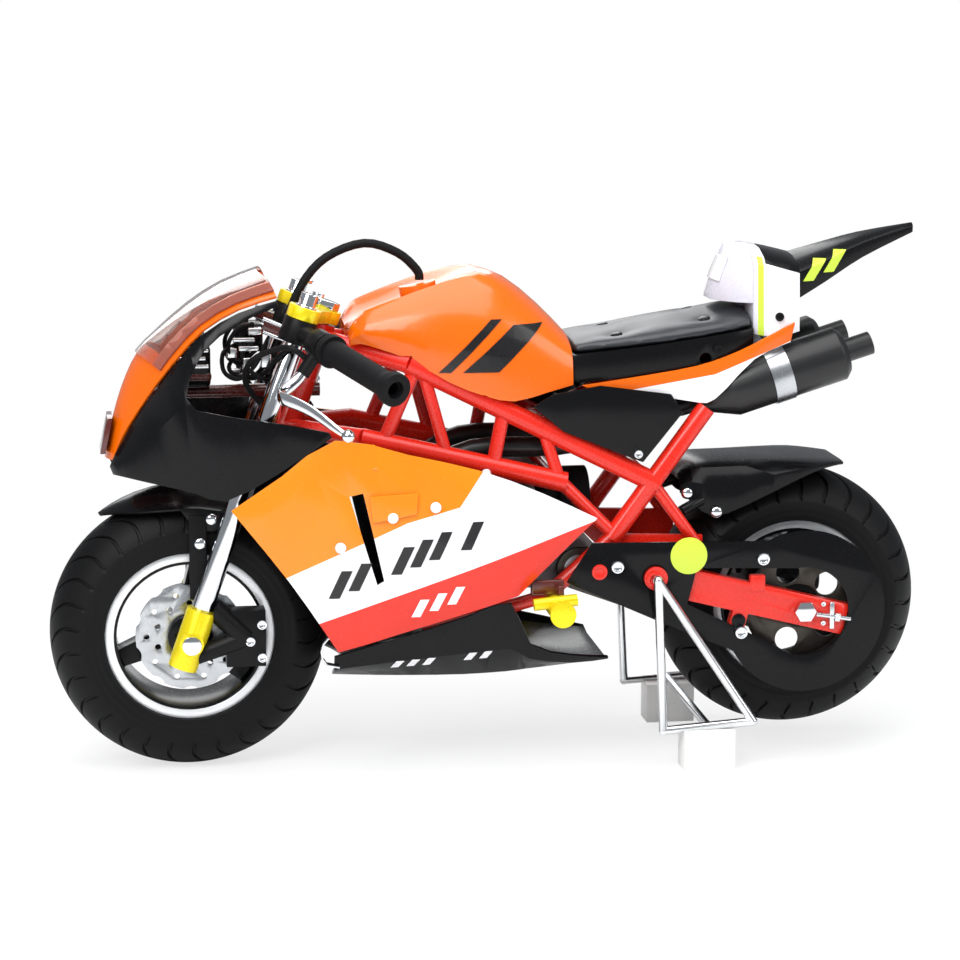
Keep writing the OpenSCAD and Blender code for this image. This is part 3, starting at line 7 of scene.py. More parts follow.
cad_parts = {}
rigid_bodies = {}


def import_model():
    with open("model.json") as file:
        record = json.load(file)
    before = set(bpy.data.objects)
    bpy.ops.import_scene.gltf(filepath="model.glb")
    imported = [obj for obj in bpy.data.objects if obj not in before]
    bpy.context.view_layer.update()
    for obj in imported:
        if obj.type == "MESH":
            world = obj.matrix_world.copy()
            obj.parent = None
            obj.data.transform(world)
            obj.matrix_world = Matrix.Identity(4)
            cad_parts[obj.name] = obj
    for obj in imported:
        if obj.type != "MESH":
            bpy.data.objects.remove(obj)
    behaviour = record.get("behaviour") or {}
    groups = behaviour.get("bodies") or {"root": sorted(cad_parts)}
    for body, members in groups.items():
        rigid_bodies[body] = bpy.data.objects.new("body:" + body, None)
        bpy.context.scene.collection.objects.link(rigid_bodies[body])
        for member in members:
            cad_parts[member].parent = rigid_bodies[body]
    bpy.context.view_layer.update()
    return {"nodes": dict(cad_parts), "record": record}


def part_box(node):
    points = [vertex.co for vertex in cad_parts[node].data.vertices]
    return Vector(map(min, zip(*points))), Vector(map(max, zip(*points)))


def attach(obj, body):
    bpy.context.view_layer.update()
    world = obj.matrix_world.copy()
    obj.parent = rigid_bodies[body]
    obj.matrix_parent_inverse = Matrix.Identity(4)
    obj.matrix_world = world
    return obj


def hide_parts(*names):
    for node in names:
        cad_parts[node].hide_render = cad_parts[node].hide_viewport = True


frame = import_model()
nodes = frame["nodes"]
print("stage: frame loaded,", len(nodes), "nodes")


def middle(nodeName):
    low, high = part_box(nodeName)
    return (Vector(low) + Vector(high)) / 2


rearAxle = middle("rear_axle_bolt")
frontAxle = middle("front_axle_bolt")
both = (1, -1)  # left and right


# millimetres from the rear axle's floor point: forward, to the left, up
def mm(x, y, z):
    return Vector((rearAxle.x + x / 1000, y / 1000, z / 1000))


def grab(*objs):
    if bpy.context.mode != "OBJECT":
        bpy.ops.object.mode_set(mode="OBJECT")
    bpy.ops.object.select_all(action="DESELECT")
    for obj in objs:
        obj.select_set(True)
    bpy.context.view_layer.objects.active = objs[-1]


def applyModifiers(obj):
    grab(obj)
    for modifier in list(obj.modifiers):
        bpy.ops.object.modifier_apply(modifier=modifier.name)


def smooth(obj, angle=35):
    grab(obj)
    bpy.ops.object.shade_smooth_by_angle(angle=math.radians(angle))


# mesh operators on a whole piece, each with its settings
def edit(obj, *steps):
    grab(obj)
    bpy.ops.object.mode_set(mode="EDIT")
    bpy.ops.mesh.select_all(action="SELECT")
    for operator, settings in steps:
        operator(**settings)
    bpy.ops.object.mode_set(mode="OBJECT")


weld = (bpy.ops.mesh.remove_doubles, {"threshold": 0.00002})


def tidyNormals(obj):
    edit(obj, weld, (bpy.ops.mesh.normals_make_consistent, {"inside": False}))


# adds a modifier with its settings and applies it
def modify(obj, kind, **settings):
    modifier = obj.modifiers.new(kind.lower(), kind)
    for key, value in settings.items():
        setattr(modifier, key, value)
    applyModifiers(obj)


def softEdges(obj, widthMm, angle=40, segments=2):
    modify(obj, "BEVEL", width=widthMm / 1000, segments=segments, limit_method="ANGLE",
           angle_limit=math.radians(angle))


def addObject(name, data):
    obj = bpy.data.objects.new(name, data)
    bpy.context.scene.collection.objects.link(obj)
    return obj


def newMesh(name, points, faces):
    mesh = bpy.data.meshes.new(name)
    mesh.from_pydata([tuple(p) for p in points], [], [tuple(f) for f in faces])
    return addObject(name, mesh)


# faces that join rings of points, as many gaps as given, back to the first ring after the last
def ringFaces(rings, count, gaps, start=0):
    faces = []
    for k in range(gaps):
        for n in range(count):
            corners = ((k, n), (k, n + 1), (k + 1, n + 1), (k + 1, n))
            faces.append([start + a % rings * count + b % count for a, b in corners])
    return faces


# three numbers of every vertex or face
def readAll(items, key):
    values = np.empty(len(items) * 3)
    items.foreach_get(key, values)
    return values.reshape(-1, 3)


def spotsOf(obj):
    return readAll(obj.data.vertices, "co")


def moveSpots(obj, spots):
    obj.data.vertices.foreach_set("co", spots.ravel())
    obj.data.update()


def finishPiece(obj, body, tones, replaced=()):
    for tone in tones:
        obj.data.materials.append(paint[tone])
    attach(obj, body)
    if replaced:
        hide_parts(*replaced)


# front_tyre becomes frontTyre
def pieceName(nodeName):
    words = nodeName.split("_")
    return words[0] + "".join(word.capitalize() for word in words[1:])


# a welded copy of a CAD node that can be shaped, where faces flatter than an angle are merged
def cadCopy(nodeName, flat=0.4, name=""):
    grab(nodes[nodeName])
    bpy.ops.object.duplicate()
    piece = bpy.context.object
    bpy.ops.object.parent_clear(type="CLEAR_KEEP_TRANSFORM")
    bpy.ops.object.transform_apply()
    for key in list(piece.keys()):
        del piece[key]
    piece.name = name or pieceName(nodeName)
    piece.data.name = piece.name
    piece.data.materials.clear()
    bpy.ops.mesh.customdata_custom_splitnormals_clear()
    merge = (bpy.ops.mesh.dissolve_limited, {"angle_limit": math.radians(flat)})
    edit(piece, *((weld, merge) if flat else (weld,)))
    return piece


def hexColor(text):
    parts = [int(text[i:i + 2], 16) / 255 for i in (1, 3, 5)]
    return tuple(p / 12.92 if p <= 0.04045 else ((p + 0.055) / 1.055) ** 2.4 for p in parts) + (1.0,)


# each socket takes a link or a value
def setSockets(tree, node, sockets):
    for key, value in sockets.items():
        if isinstance(value, bpy.types.NodeSocket):
            tree.links.new(value, node.inputs[key])
        else:
            node.inputs[key].default_value = value


def addNode(tree, kind, sockets, **settings):
    node = tree.nodes.new(kind)
    for key, value in settings.items():
        setattr(node, key, value)
    setSockets(tree, node, sockets)
    return node


# a new material with its tree, its shader and the place on the piece
def newMaterial(name):
    material = bpy.data.materials.new(name)
    material.use_nodes = True
    tree = material.node_tree
    place = addNode(tree, "ShaderNodeTexCoord", {}).outputs["Object"]
    return material, tree, tree.nodes["Principled BSDF"], place


# a surface with slow tone drift, fine grain in its polish and a shallow relief
def grainFinish(name, colour, drift, rough, cloudMm, grainMm, strength, depthMm, values):
    material, tree, shader, place = newMaterial(name)
    cloud = addNode(tree, "ShaderNodeTexNoise", {"Vector": place, "Scale": 1000 / cloudMm, "Detail": 3.0})
    grain = addNode(tree, "ShaderNodeTexNoise", {"Vector": place, "Scale": 1000 / grainMm, "Detail": 4.0})
    tone = addNode(tree, "ShaderNodeMix", {0: cloud.outputs["Fac"], 6: hexColor(colour), 7: hexColor(drift)},
                   data_type="RGBA")
    polish = addNode(tree, "ShaderNodeMapRange", {"Value": grain.outputs["Fac"], "From Min": 0.3,
                                                  "From Max": 0.7, "To Min": rough[0], "To Max": rough[1]})
    relief = addNode(tree, "ShaderNodeBump", {"Height": grain.outputs["Fac"], "Strength": strength,
                                              "Distance": depthMm / 1000})
    setSockets(tree, shader, {"Base Color": tone.outputs[2], "Roughness": polish.outputs["Result"],
                              "Normal": relief.outputs["Normal"], **values})
    return material


gloss = {"IOR": 1.5, "Coat Weight": 0.5, "Coat Roughness": 0.04}
softGloss = {"IOR": 1.5, "Coat Weight": 0.2, "Coat Roughness": 0.05, "Specular IOR Level": 0.4}
deepGloss = {"IOR": 1.5, "Coat Weight": 0.03, "Coat Roughness": 0.05, "Specular IOR Level": 0.16}
dull = {"IOR": 1.5, "Specular IOR Level": 0.15}
metal = {"Metallic": 1.0}
plain = {"IOR": 1.5}
# colour, second tone, least and most roughness, width of clouds and of grain in mm,
# strength of the relief and its depth in mm, values of the shader's sockets
finishes = {
    # vulcanised rubber: dull black with a fine pebble that breaks the light
    "tyreRubber": ("#070708", "#0d0d0e", (0.46, 0.6), 45, 0.9, 0.2, 0.15, dull),
    # cast alloy under gloss black enamel: soft mirror with a little orange peel
    "wheelEnamel": ("#080809", "#0e0e10", (0.2, 0.28), 60, 2.5, 0.03, 0.06, deepGloss),
    # machined alloy rim edge: bright with fine turning marks
    "machinedAlloy": ("#e4e5e6", "#d2d4d6", (0.14, 0.26), 30, 0.5, 0.05, 0.05, metal),
    # brushed rim lip, part metal and part pale diffuse colour: its silver plus a painted sheen that keeps it
    # bright from all sides
    "brightLipPaintedSheen": ("#eceeef", "#e0e2e4", (0.3, 0.42), 30, 0.5, 0.05, 0.05,
                     {"Metallic": 0.55, "IOR": 1.5}),
    # ground stainless steel: grey metal with a blurred mirror
    "groundSteel": ("#c3c6c9", "#aaaeb2", (0.22, 0.36), 18, 0.4, 0.08, 0.05, metal),
    # oiled chain steel: dark and greasy
    "oiledSteel": ("#5a5650", "#38342f", (0.28, 0.5), 9, 0.7, 0.15, 0.1, {"Metallic": 0.9}),
    # chrome plate: near mirror with faint haze
    "chromePlate": ("#e3e5e8", "#d3d6da", (0.05, 0.11), 40, 1.2, 0.02, 0.03, metal),
    # anodised aluminium: yellow gold with a satin polish
    "goldAnodised": ("#f2e01c", "#e6cc10", (0.22, 0.34), 25, 0.5, 0.05, 0.05,
                     {"Metallic": 0.4, "IOR": 1.5}),
    # satin black paint on metal: blurred sheen
    "satinBlack": ("#0b0b0c", "#121213", (0.34, 0.46), 30, 0.8, 0.1, 0.06, dull),
    # moulded rubber of grips and hoses: matt
    "mouldedRubber": ("#0b0b0c", "#121214", (0.55, 0.7), 20, 0.6, 0.15, 0.1, dull),
    # powder coat: bright red with orange peel under a clear coat
    "redPowderCoat": ("#d62616", "#cb2012", (0.26, 0.3), 50, 2.2, 0.01, 0.05, softGloss),
    # injection-moulded gloss black plastic: deep with a clean mirror
    "blackPlastic": ("#09090a", "#0e0e10", (0.2, 0.28), 80, 3.0, 0.02, 0.05, deepGloss),
    # sand-cast aluminium: pale grey pits
    "castAlloy": ("#9a9c9f", "#7d8083", (0.38, 0.56), 22, 0.9, 0.35, 0.15, {"Metallic": 0.85}),
    # heat-proof black paint on steel sheet: low sheen
    "heatPaint": ("#0c0c0d", "#141416", (0.34, 0.48), 35, 0.9, 0.15, 0.08,
                  {"IOR": 1.5, "Coat Weight": 0.1, "Specular IOR Level": 0.4}),
    # gloss orange body plastic of tank and hood
    "orangePlastic": ("#dd6303", "#d75a02", (0.2, 0.28), 120, 3.0, 0.04, 0.08, softGloss),
    # the fairing's orange is a lighter amber
    "amberPlastic": ("#e98612", "#e37b0c", (0.2, 0.28), 120, 3.0, 0.04, 0.08, softGloss),
    # gloss white body plastic
    "whitePlastic": ("#ecebee", "#e3e3e7", (0.2, 0.3), 90, 3.0, 0.04, 0.08, gloss),
    # painted shade: a cooler, greyer white for the hump's front, which lies in half shade
    "shadedHumpWhite": ("#d5d4de", "#cccbd6", (0.24, 0.34), 60, 3.0, 0.02, 0.05, softGloss),
    # gloss red band film
    "redFilm": ("#d62a16", "#cd2412", (0.2, 0.28), 90, 3.0, 0.04, 0.08, softGloss),
    # fluorescent yellow-green film
    "limeFilm": ("#c6e245", "#bcd938", (0.3, 0.4), 40, 1.5, 0.04, 0.05, plain),
    # black striping film on the body
    "blackFilm": ("#0b0a0c", "#121113", (0.26, 0.36), 40, 1.5, 0.04, 0.05, plain),
    # dark red-brown plastic of the blank front plate
    "darkRedPlastic": ("#5a1d15", "#481410", (0.22, 0.32), 30, 2.0, 0.05, 0.06, gloss),
    # milky nylon of the stand feet: soft white with a waxy shine
    "paleNylon": ("#f0f0ee", "#e4e4e2", (0.26, 0.4), 14, 1.0, 0.08, 0.1, plain),
    # painted light: pinkish tone on the acrylic screen's cut edge, for light trapped there
    "screenEdgeTrappedLight": ("#b9786a", "#a8604f", (0.1, 0.18), 25, 1.0, 0.03, 0.05,
                   {"IOR": 1.3, "Transmission Weight": 0.55}),
}
paint = {name: grainFinish(name, *look) for name, look in finishes.items()}


# pressed vinyl: leather-like pebble from cells, with a semi-gloss top
def vinylFinish():
    material, tree, shader, place = newMaterial("pressedVinyl")
    pebble = addNode(tree, "ShaderNodeTexVoronoi", {"Vector": place, "Scale": 700.0}, feature="SMOOTH_F1")
    cloud = addNode(tree, "ShaderNodeTexNoise", {"Vector": place, "Scale": 40.0, "Detail": 3.0})
    tone = addNode(tree, "ShaderNodeMix", {0: cloud.outputs["Fac"], 6: hexColor("#1b1d20"),
                                           7: hexColor("#25282c")}, data_type="RGBA")
    polish = addNode(tree, "ShaderNodeMapRange", {"Value": cloud.outputs["Fac"], "To Min": 0.32,
                                                  "To Max": 0.44})
    relief = addNode(tree, "ShaderNodeBump", {"Height": pebble.outputs["Distance"], "Strength": 0.1,
                                              "Distance": 0.0003})
    setSockets(tree, shader, {"Base Color": tone.outputs[2], "Roughness": polish.outputs["Result"],
                              "Normal": relief.outputs["Normal"], "IOR": 1.52})
    return material


# blown acrylic sheet: clear with a faint warm tint and slow thickness ripple
def screenFinish():
    material, tree, shader, place = newMaterial("clearAcrylic")
    ripple = addNode(tree, "ShaderNodeTexNoise", {"Vector": place, "Scale": 18.0, "Detail": 1.0})
    tone = addNode(tree, "ShaderNodeMix", {0: ripple.outputs["Fac"], 6: hexColor("#f1e4e0"),
                                           7: hexColor("#e8d8d3")}, data_type="RGBA")
    relief = addNode(tree, "ShaderNodeBump", {"Height": ripple.outputs["Fac"], "Strength": 0.04,
                                              "Distance": 0.001})
    setSockets(tree, shader, {"Base Color": tone.outputs[2], "Normal": relief.outputs["Normal"],
                              "Roughness": 0.03, "IOR": 1.49, "Transmission Weight": 1.0})
    return material


paint["pressedVinyl"] = vinylFinish()
paint["clearAcrylic"] = screenFinish()
bodyOf = {n: b for b, members in frame["record"]["behaviour"]["bodies"].items() for n in members}
print("stage: materials made,", len(paint))

# CAD nodes shown as merged, smoothed and edge-softened copies: material, smoothing angle, edge width in mm
dressed = {
    "frame": ("redPowderCoat", 40, 0), "swingarm": ("redPowderCoat", 40, 7.0),
    "engine_block": ("castAlloy", 35, 1.5), "engine_cylinder": ("castAlloy", 35, 0.6),
    "air_filter": ("mouldedRubber", 35, 1.0), "mufflers": ("heatPaint", 35, 0.8),
    "muffler_bands": ("groundSteel", 35, 0), "exhaust_pipe": ("heatPaint", 50, 0),
    "tank_cover": ("orangePlastic", 32, 0), "tank_cap": ("orangePlastic", 35, 0.8),
    "breather_hose": ("mouldedRubber", 60, 0), "seat_base": ("blackPlastic", 40, 0.8),
    "tail_wing": ("blackPlastic", 30, 0.8), "front_fender": ("blackPlastic", 34, 0.4),
    "side_covers": ("blackPlastic", 35, 1.0), "front_cowl": ("orangePlastic", 34, 0.4),
    "nose_cheeks": ("blackPlastic", 30, 0.5), "nose_plate": ("darkRedPlastic", 35, 0.6),
    "nose_stay": ("darkRedPlastic", 40, 0), "belly_pan": ("blackPlastic", 34, 0.5),
    "footpegs": ("goldAnodised", 35, 0.8), "rear_caliper": ("satinBlack", 35, 1.5),
    "stand_wire": ("machinedAlloy", 50, 0), "stand_feet": ("paleNylon", 35, 1.5),
    "drive_sprocket": ("groundSteel", 30, 0.2), "chain": ("oiledSteel", 35, 0),
    "rear_axle_bolt": ("chromePlate", 35, 0.6), "chain_guard": ("blackPlastic", 35, 0.8),
    "rear_fender": ("blackPlastic", 34, 0.6), "fork_tubes": ("chromePlate", 35, 0.6),
    "fork_clamps": ("goldAnodised", 35, 1.0), "upper_yoke": ("goldAnodised", 35, 1.0),
    "lower_yoke": ("satinBlack", 35, 1.0), "steering_stem": ("chromePlate", 35, 0.6),
    "handlebars": ("satinBlack", 40, 0.5), "lever_perches": ("satinBlack", 40, 0.5),
    "front_caliper": ("satinBlack", 35, 1.2), "steering_cables": ("mouldedRubber", 60, 0),
    "front_axle_bolt": ("chromePlate", 35, 0.6), "front_disc": ("groundSteel", 35, 0.25),
    "rear_disc": ("groundSteel", 35, 0.25), "rear_sprocket": ("oiledSteel", 30, 0.2),
}
shown = {}


# a copy takes its CAD node's place, on the same body
def standIn(piece, nodeName, angle, *tones):
    smooth(piece, angle)
    finishPiece(piece, bodyOf[nodeName], tones, [nodeName])
    shown[nodeName] = piece


for nodeName, (finish, angle, edgeMm) in dressed.items():
    piece = cadCopy(nodeName, 0 if nodeName == "frame" else 0.4)
    if edgeMm:
        softEdges(piece, edgeMm)
    standIn(piece, nodeName, angle, finish)
print("stage: CAD copies dressed,", len(shown))


def facesOf(obj):
    return readAll(obj.data.polygons, "center"), readAll(obj.data.polygons, "normal")


def paintFaces(obj, index):
    obj.data.polygons.foreach_set("material_index", np.asarray(index, dtype=np.int32))
    obj.data.update()


def cutPlane(obj, point, normal):
    edit(obj, (bpy.ops.mesh.bisect, {"plane_co": point, "plane_no": normal}))


# a line in side view, through two places given in mm from the rear axle's floor point
def sideLine(a, b):
    slope = (b[1] - a[1]) / (b[0] - a[0])
    return {"point": mm(a[0], 0, a[1]), "normal": Vector((-slope, 0, 1)).normalized(), "slope": slope}


def height(line, x):
    return line["point"].z + line["slope"] * (x - line["point"].x)


# cuts a piece along side lines and gives them back
def cutLines(piece, named):
    lines = {name: sideLine(*ends) for name, ends in named.items()}
    for line in lines.values():
        cutPlane(piece, line["point"], line["normal"])
    return lines


# grips: slimmer rubber sleeves with ring ribs, round the bars' own line
gripSleeve = {"slim": 0.86, "groove": 0.05, "halfPitchMm": 2.6, "ribbedShare": 0.36}


def grips():
    piece = cadCopy("grips", 0, "gripSleeves")
    spots = spotsOf(piece)
    step = gripSleeve["halfPitchMm"] / 1000
    lines = []
    for side in both:
        mine = spots[spots[:, 1] * side > 0]
        centre = mine.mean(axis=0)
        line = np.linalg.svd(mine - centre)[2][0]
        rings = int(np.ptp((mine - centre) @ line) * gripSleeve["ribbedShare"] / step)
        lines.append((side, centre, line, rings))
        for k in range(-rings, rings + 1):
            cutPlane(piece, centre + line * step * k, line)
    spots = spotsOf(piece)
    for side, centre, line, rings in lines:
        mine = spots[:, 1] * side > 0
        along = (spots[mine] - centre) @ line
        turn = np.rint(along / step).astype(int)
        share = gripSleeve["slim"] - gripSleeve["groove"] * ((np.abs(turn) < rings) & (turn % 2 == 1))
        rim = spots[mine] - centre - np.outer(along, line)
        spots[mine] = centre + np.outer(along, line) + share[:, None] * rim
    moveSpots(piece, spots)
    standIn(piece, "grips", 35, "mouldedRubber")


grips()


# side fairings: amber over white over red, cut along the printed edges
fairingBands = {"amberFront": ((516, 220), (411, 266)), "amberMiddle": ((411, 266), (358, 280)),
                "amberRear": ((358, 280), (336, 312)), "redTop": ((481, 171), (220, 259))}


def sideFairings():
    piece = cadCopy("side_fairings")
    softEdges(piece, 0.5)
    lines = cutLines(piece, fairingBands)
    centre, normal = facesOf(piece)
    x, z = centre[:, 0], centre[:, 2]
    inside = normal[:, 1] * np.sign(centre[:, 1]) < -0.3  # inward faces black: bare plastic behind the paint, and painted shade of the hollow inside
    edge = np.minimum(height(lines["amberFront"], x), height(lines["amberMiddle"], x))
    amber = z > np.maximum(edge, height(lines["amberRear"], x))
    red = z < height(lines["redTop"], x)
    paintFaces(piece, np.where(inside, 3, np.where(amber, 0, np.where(red, 2, 1))))
    standIn(piece, "side_fairings", 34, "amberPlastic", "whitePlastic", "redFilm", "blackPlastic")


sideFairings()

# tail sides: white with an orange stripe along the top
tailStripe = {"front": ((212, 385), (94, 404)), "rear": ((94, 404), (9, 437))}


def tailSides():
    piece = cadCopy("tail_sides")
    softEdges(piece, 0.5)
    lines = cutLines(piece, tailStripe)
    centre, _ = facesOf(piece)
    x, z = centre[:, 0], centre[:, 2]
    paintFaces(piece, np.where(z > np.maximum(height(lines["front"], x), height(lines["rear"], x)), 1, 0))
    standIn(piece, "tail_sides", 34, "whitePlastic", "orangePlastic")


tailSides()

# tail hump: white, black over top and back behind a slanted line, lime stripe up its front corners, painted
# shade of cooler white over its front
humpPaint = {"blackFrom": 38, "line": ((39, 513), (0, 502)), "stripe": (40, 46), "facing": 0.6,
             "backFrom": 460}


def tailHump():
    piece = cadCopy("tail_hump")
    softEdges(piece, 0.8)
    line = cutLines(piece, {"top": humpPaint["line"]})["top"]
    for x in (humpPaint["blackFrom"],) + humpPaint["stripe"]:
        cutPlane(piece, mm(x, 0, 0), (1, 0, 0))
    centre, normal = facesOf(piece)
    x, z = (centre[:, 0] - rearAxle.x) * 1000, centre[:, 2]
    black = (x < humpPaint["blackFrom"]) & (z > height(line, centre[:, 0]))
    black |= (normal[:, 0] < -humpPaint["facing"]) & (z > humpPaint["backFrom"] / 1000)
    low, high = humpPaint["stripe"]
    lime = (x > low) & (x < high) & (np.abs(normal[:, 1]) > humpPaint["facing"])
    # faces ahead of the stripe take the cooler white, painted shade of the hump's front
    paintFaces(piece, np.where(black, 1, np.where(lime, 2, np.where(x > high, 3, 0))))
    standIn(piece, "tail_hump", 50, "whitePlastic", "blackPlastic", "limeFilm", "shadedHumpWhite")


tailHump()

# windscreen: clear sheet whose borders are painted pinkish for light trapped in the edge, from a share of the
# width that it has near each face
screenBorder = {"from": 0.86, "nearMm": 12}


def windscreen():
    piece = cadCopy("windscreen", 0)
    spots = spotsOf(piece)
    centre, _ = facesOf(piece)
    near = screenBorder["nearMm"] / 1000
    wide = np.array([np.abs(spots[np.abs(spots[:, 0] - x) < near, 1]).max() for x in centre[:, 0]])
    # border faces take the pinkish painted light of the cut edge
    paintFaces(piece, np.where(np.abs(centre[:, 1]) > screenBorder["from"] * wide, 1, 0))
    standIn(piece, "windscreen", 40, "clearAcrylic", "screenEdgeTrappedLight")


windscreen()

# cast wheels: black, with a spun bright lip on both edges, radius and height over the edge in mm
rimLip = {"section": ((76.8, -3.0), (77.0, 0.1), (78.0, 0.6), (81.5, 0.3), (84.8, 0.6), (86.0, 0.0),
                      (86.0, -3.0)), "steps": 144, "edgeFrom": 80}


def wheelRim(nodeName, centre):
    piece = cadCopy(nodeName)
    softEdges(piece, 0.8)
    standIn(piece, nodeName, 35, "wheelEnamel")
    spots = spotsOf(piece)
    reach = np.hypot(spots[:, 0] - centre.x, spots[:, 2] - centre.z)
    half = np.abs(spots[reach > rimLip["edgeFrom"] / 1000, 1]).max()
    points, faces = [], []
    section, steps = rimLip["section"], rimLip["steps"]
    for side in both:
        faces += ringFaces(steps, len(section), steps, len(points))
        for k in range(steps):
            turn = 2 * math.pi * k / steps
            for radius, out in section:
                points.append((centre.x + radius / 1000 * math.cos(turn), side * (half + out / 1000),
                               centre.z + radius / 1000 * math.sin(turn)))
    lip = newMesh(pieceName(nodeName) + "Lip", points, faces)
    tidyNormals(lip)
    smooth(lip, 40)
    # the lip's brightness is partly its silver and partly painted sheen
    finishPiece(lip, bodyOf[nodeName], ["brightLipPaintedSheen"])


wheelRim("front_rim", frontAxle)
wheelRim("rear_rim", rearAxle)
print("stage: bands and rims done")

# tyres: spun section with slanted tread grooves, sizes in mm
tyreSizes = {
    "front_tyre": {"pitches": 30, "crown": 45, "half": 44, "groove": 3.6, "slant": 0.62, "reach": (7, 58)},
    "rear_tyre": {"pitches": 28, "crown": 62.7, "half": 54.6, "groove": 4.2, "slant": 0.55, "reach": (9, 66)},
}
# both tyres: section rows, bead radius, the crown's share of the section, narrowing and inset
# of the wall, its raised rings, and the depth, run-out, edge and curl of the grooves
tyreForm = {"rows": 75, "bead": 86.4, "crownShare": 0.72, "narrow": 1.1, "inset": 0.5,
            "ringAt": (0.35, 0.72), "ringWide": 0.06, "ringHigh": 0.49,
            "deep": 3.4, "runOut": (4, 5), "edge": 0.03, "curl": 0.12, "curlReach": 60, "steadyReach": 90}


def tyre(nodeName, centre):
    size, form = tyreSizes[nodeName], tyreForm
    low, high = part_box(nodeName)
    outer = (high[2] - low[2]) / 2 * 1000
    crown, rows = size["crown"], form["rows"]
    hub = outer - crown
    limit = math.asin(min(1, size["half"] / crown))
    # section: round crown, then a straight wall with two raised rings down to the rim
    section = []
    for share in np.linspace(-1, 1, rows):
        side = 1 if share >= 0 else -1
        along = abs(share) / form["crownShare"]
        if along <= 1:
            section.append((side * crown * math.sin(limit * along), hub + crown * math.cos(limit * along)))
        else:
            drop = (abs(share) - form["crownShare"]) / (1 - form["crownShare"])
            top = hub + crown * math.cos(limit)
            radius = top + (form["bead"] - top) * drop
            bulge = math.sqrt(max(0, crown ** 2 - (radius - hub) ** 2))
            wide = min(size["half"], bulge) - form["narrow"] * drop - form["inset"]
            ring = sum(math.exp(-((drop - at) / form["ringWide"]) ** 2) for at in form["ringAt"])
            section.append((side * (wide + form["ringHigh"] * ring), radius))
    section = np.array(section)
    step = np.hypot(*np.diff(section, axis=0).T)
    length = np.concatenate([[0], np.cumsum(step)])
    length -= length[rows // 2]
    pitch = 2 * math.pi / size["pitches"]
    wide, edge = size["groove"] / (outer * pitch), form["edge"]
    marks = [0.0, edge, wide, wide + edge, 0.27, 0.38,
             0.5, 0.5 + edge, 0.5 + wide, 0.5 + edge + wide, 0.77, 0.88]
    start, end = size["reach"]
    points = []
    for k in range(size["pitches"]):
        for index, mark in enumerate(marks):
            for row in range(rows):
                reach = abs(length[row])
                lean = size["slant"] * reach / outer
                lean += form["curl"] * math.sin(min(1, reach / form["curlReach"]) * math.pi)
                steady = form["steadyReach"] / max(form["steadyReach"], reach)
                turn = (k + mark) * pitch + lean * steady
                bottom = (1, 2) if length[row] >= 0 else (7, 8)
                fadeIn = min(max((reach - start) / form["runOut"][0], 0), 1)
                fadeOut = min(max((end - reach) / form["runOut"][1], 0), 1)
                share = fadeIn * fadeOut if index in bottom else 0
                facing = max(0.25, math.cos(min(1.2, reach / crown)))
                radius = section[row][1] - form["deep"] * share * facing
                across = section[row][0] * (1 - 0.02 * share)
                points.append((centre.x + radius * math.cos(turn) / 1000, across / 1000,
                               centre.z + radius * math.sin(turn) / 1000))
    columns = len(points) // rows
    faces = []
    for c in range(columns):
        after = (c + 1) % columns
        for row in range(rows - 1):
            faces.append((c * rows + row, after * rows + row, after * rows + row + 1, c * rows + row + 1))
        faces.append((c * rows + rows - 1, after * rows + rows - 1, after * rows, c * rows))
    piece = newMesh(pieceName(nodeName), points, faces)
    tidyNormals(piece)
    standIn(piece, nodeName, 38, "tyreRubber")


tyre("front_tyre", frontAxle)
tyre("rear_tyre", rearAxle)
print("stage: tyres done")

# seat pad: foam under vinyl, blown up by cloth pressure, held at its base and four buttons
seatPad = {"voxelMm": 4.5, "shrink": 0.985, "pressure": 4.0, "frames": 20, "capMm": 5.0, "buttonMm": 6.0,
           "dipWideMm": 9, "dipDeepMm": 4, "easeShare": 0.5, "easeTimes": 7,
           "buttons": ((188, 40), (188, -40), (98, 43), (98, -43))}


def seat():
    piece = cadCopy("seat_pad", 0)
    edit(piece, (bpy.ops.transform.resize, {"value": [seatPad["shrink"]] * 3,
                                            "center_override": middle("seat_pad")}))
    piece.data.remesh_voxel_size = seatPad["voxelMm"] / 1000
    bpy.ops.object.voxel_remesh()
    spots = spotsOf(piece)
    normal = readAll(piece.data.vertices, "normal")
    held = normal[:, 2] < -0.5
    top = normal[:, 2] > 0.3
    for x, y in seatPad["buttons"]:
        button = mm(x, y, 0)
        away = np.hypot(spots[:, 0] - button.x, spots[:, 1] - button.y) * 1000
        dip = np.exp(-(away / seatPad["dipWideMm"]) ** 2) * seatPad["dipDeepMm"] / 1000
        spots[:, 2] -= np.where(top, dip, 0)
        held |= top & (away < seatPad["buttonMm"])
    moveSpots(piece, spots)
    group = piece.vertex_groups.new(name="held")
    group.add([int(i) for i in np.nonzero(held)[0]], 1.0, "REPLACE")
    cloth = piece.modifiers.new("cloth", "CLOTH")
    settings = cloth.settings
    settings.use_pressure = True
    settings.uniform_pressure_force = seatPad["pressure"]
    settings.effector_weights.gravity = 0.0
    settings.vertex_group_mass = "held"
    cloth.point_cache.frame_end = seatPad["frames"]
    for step in range(1, seatPad["frames"] + 1):
        bpy.context.scene.frame_set(step)
    applyModifiers(piece)
    move = spotsOf(piece) - spots
    far = np.linalg.norm(move, axis=1, keepdims=True)
    move *= np.minimum(1, seatPad["capMm"] / 1000 / np.maximum(far, 1e-9))
    moveSpots(piece, spots + move)
    modify(piece, "SMOOTH", factor=seatPad["easeShare"], iterations=seatPad["easeTimes"])
    modify(piece, "SUBSURF", levels=1)
    grab(piece)
    bpy.ops.object.shade_smooth()
    finishPiece(piece, "chassis", ["pressedVinyl"], ["seat_pad"])
    shown["seat_pad"] = piece


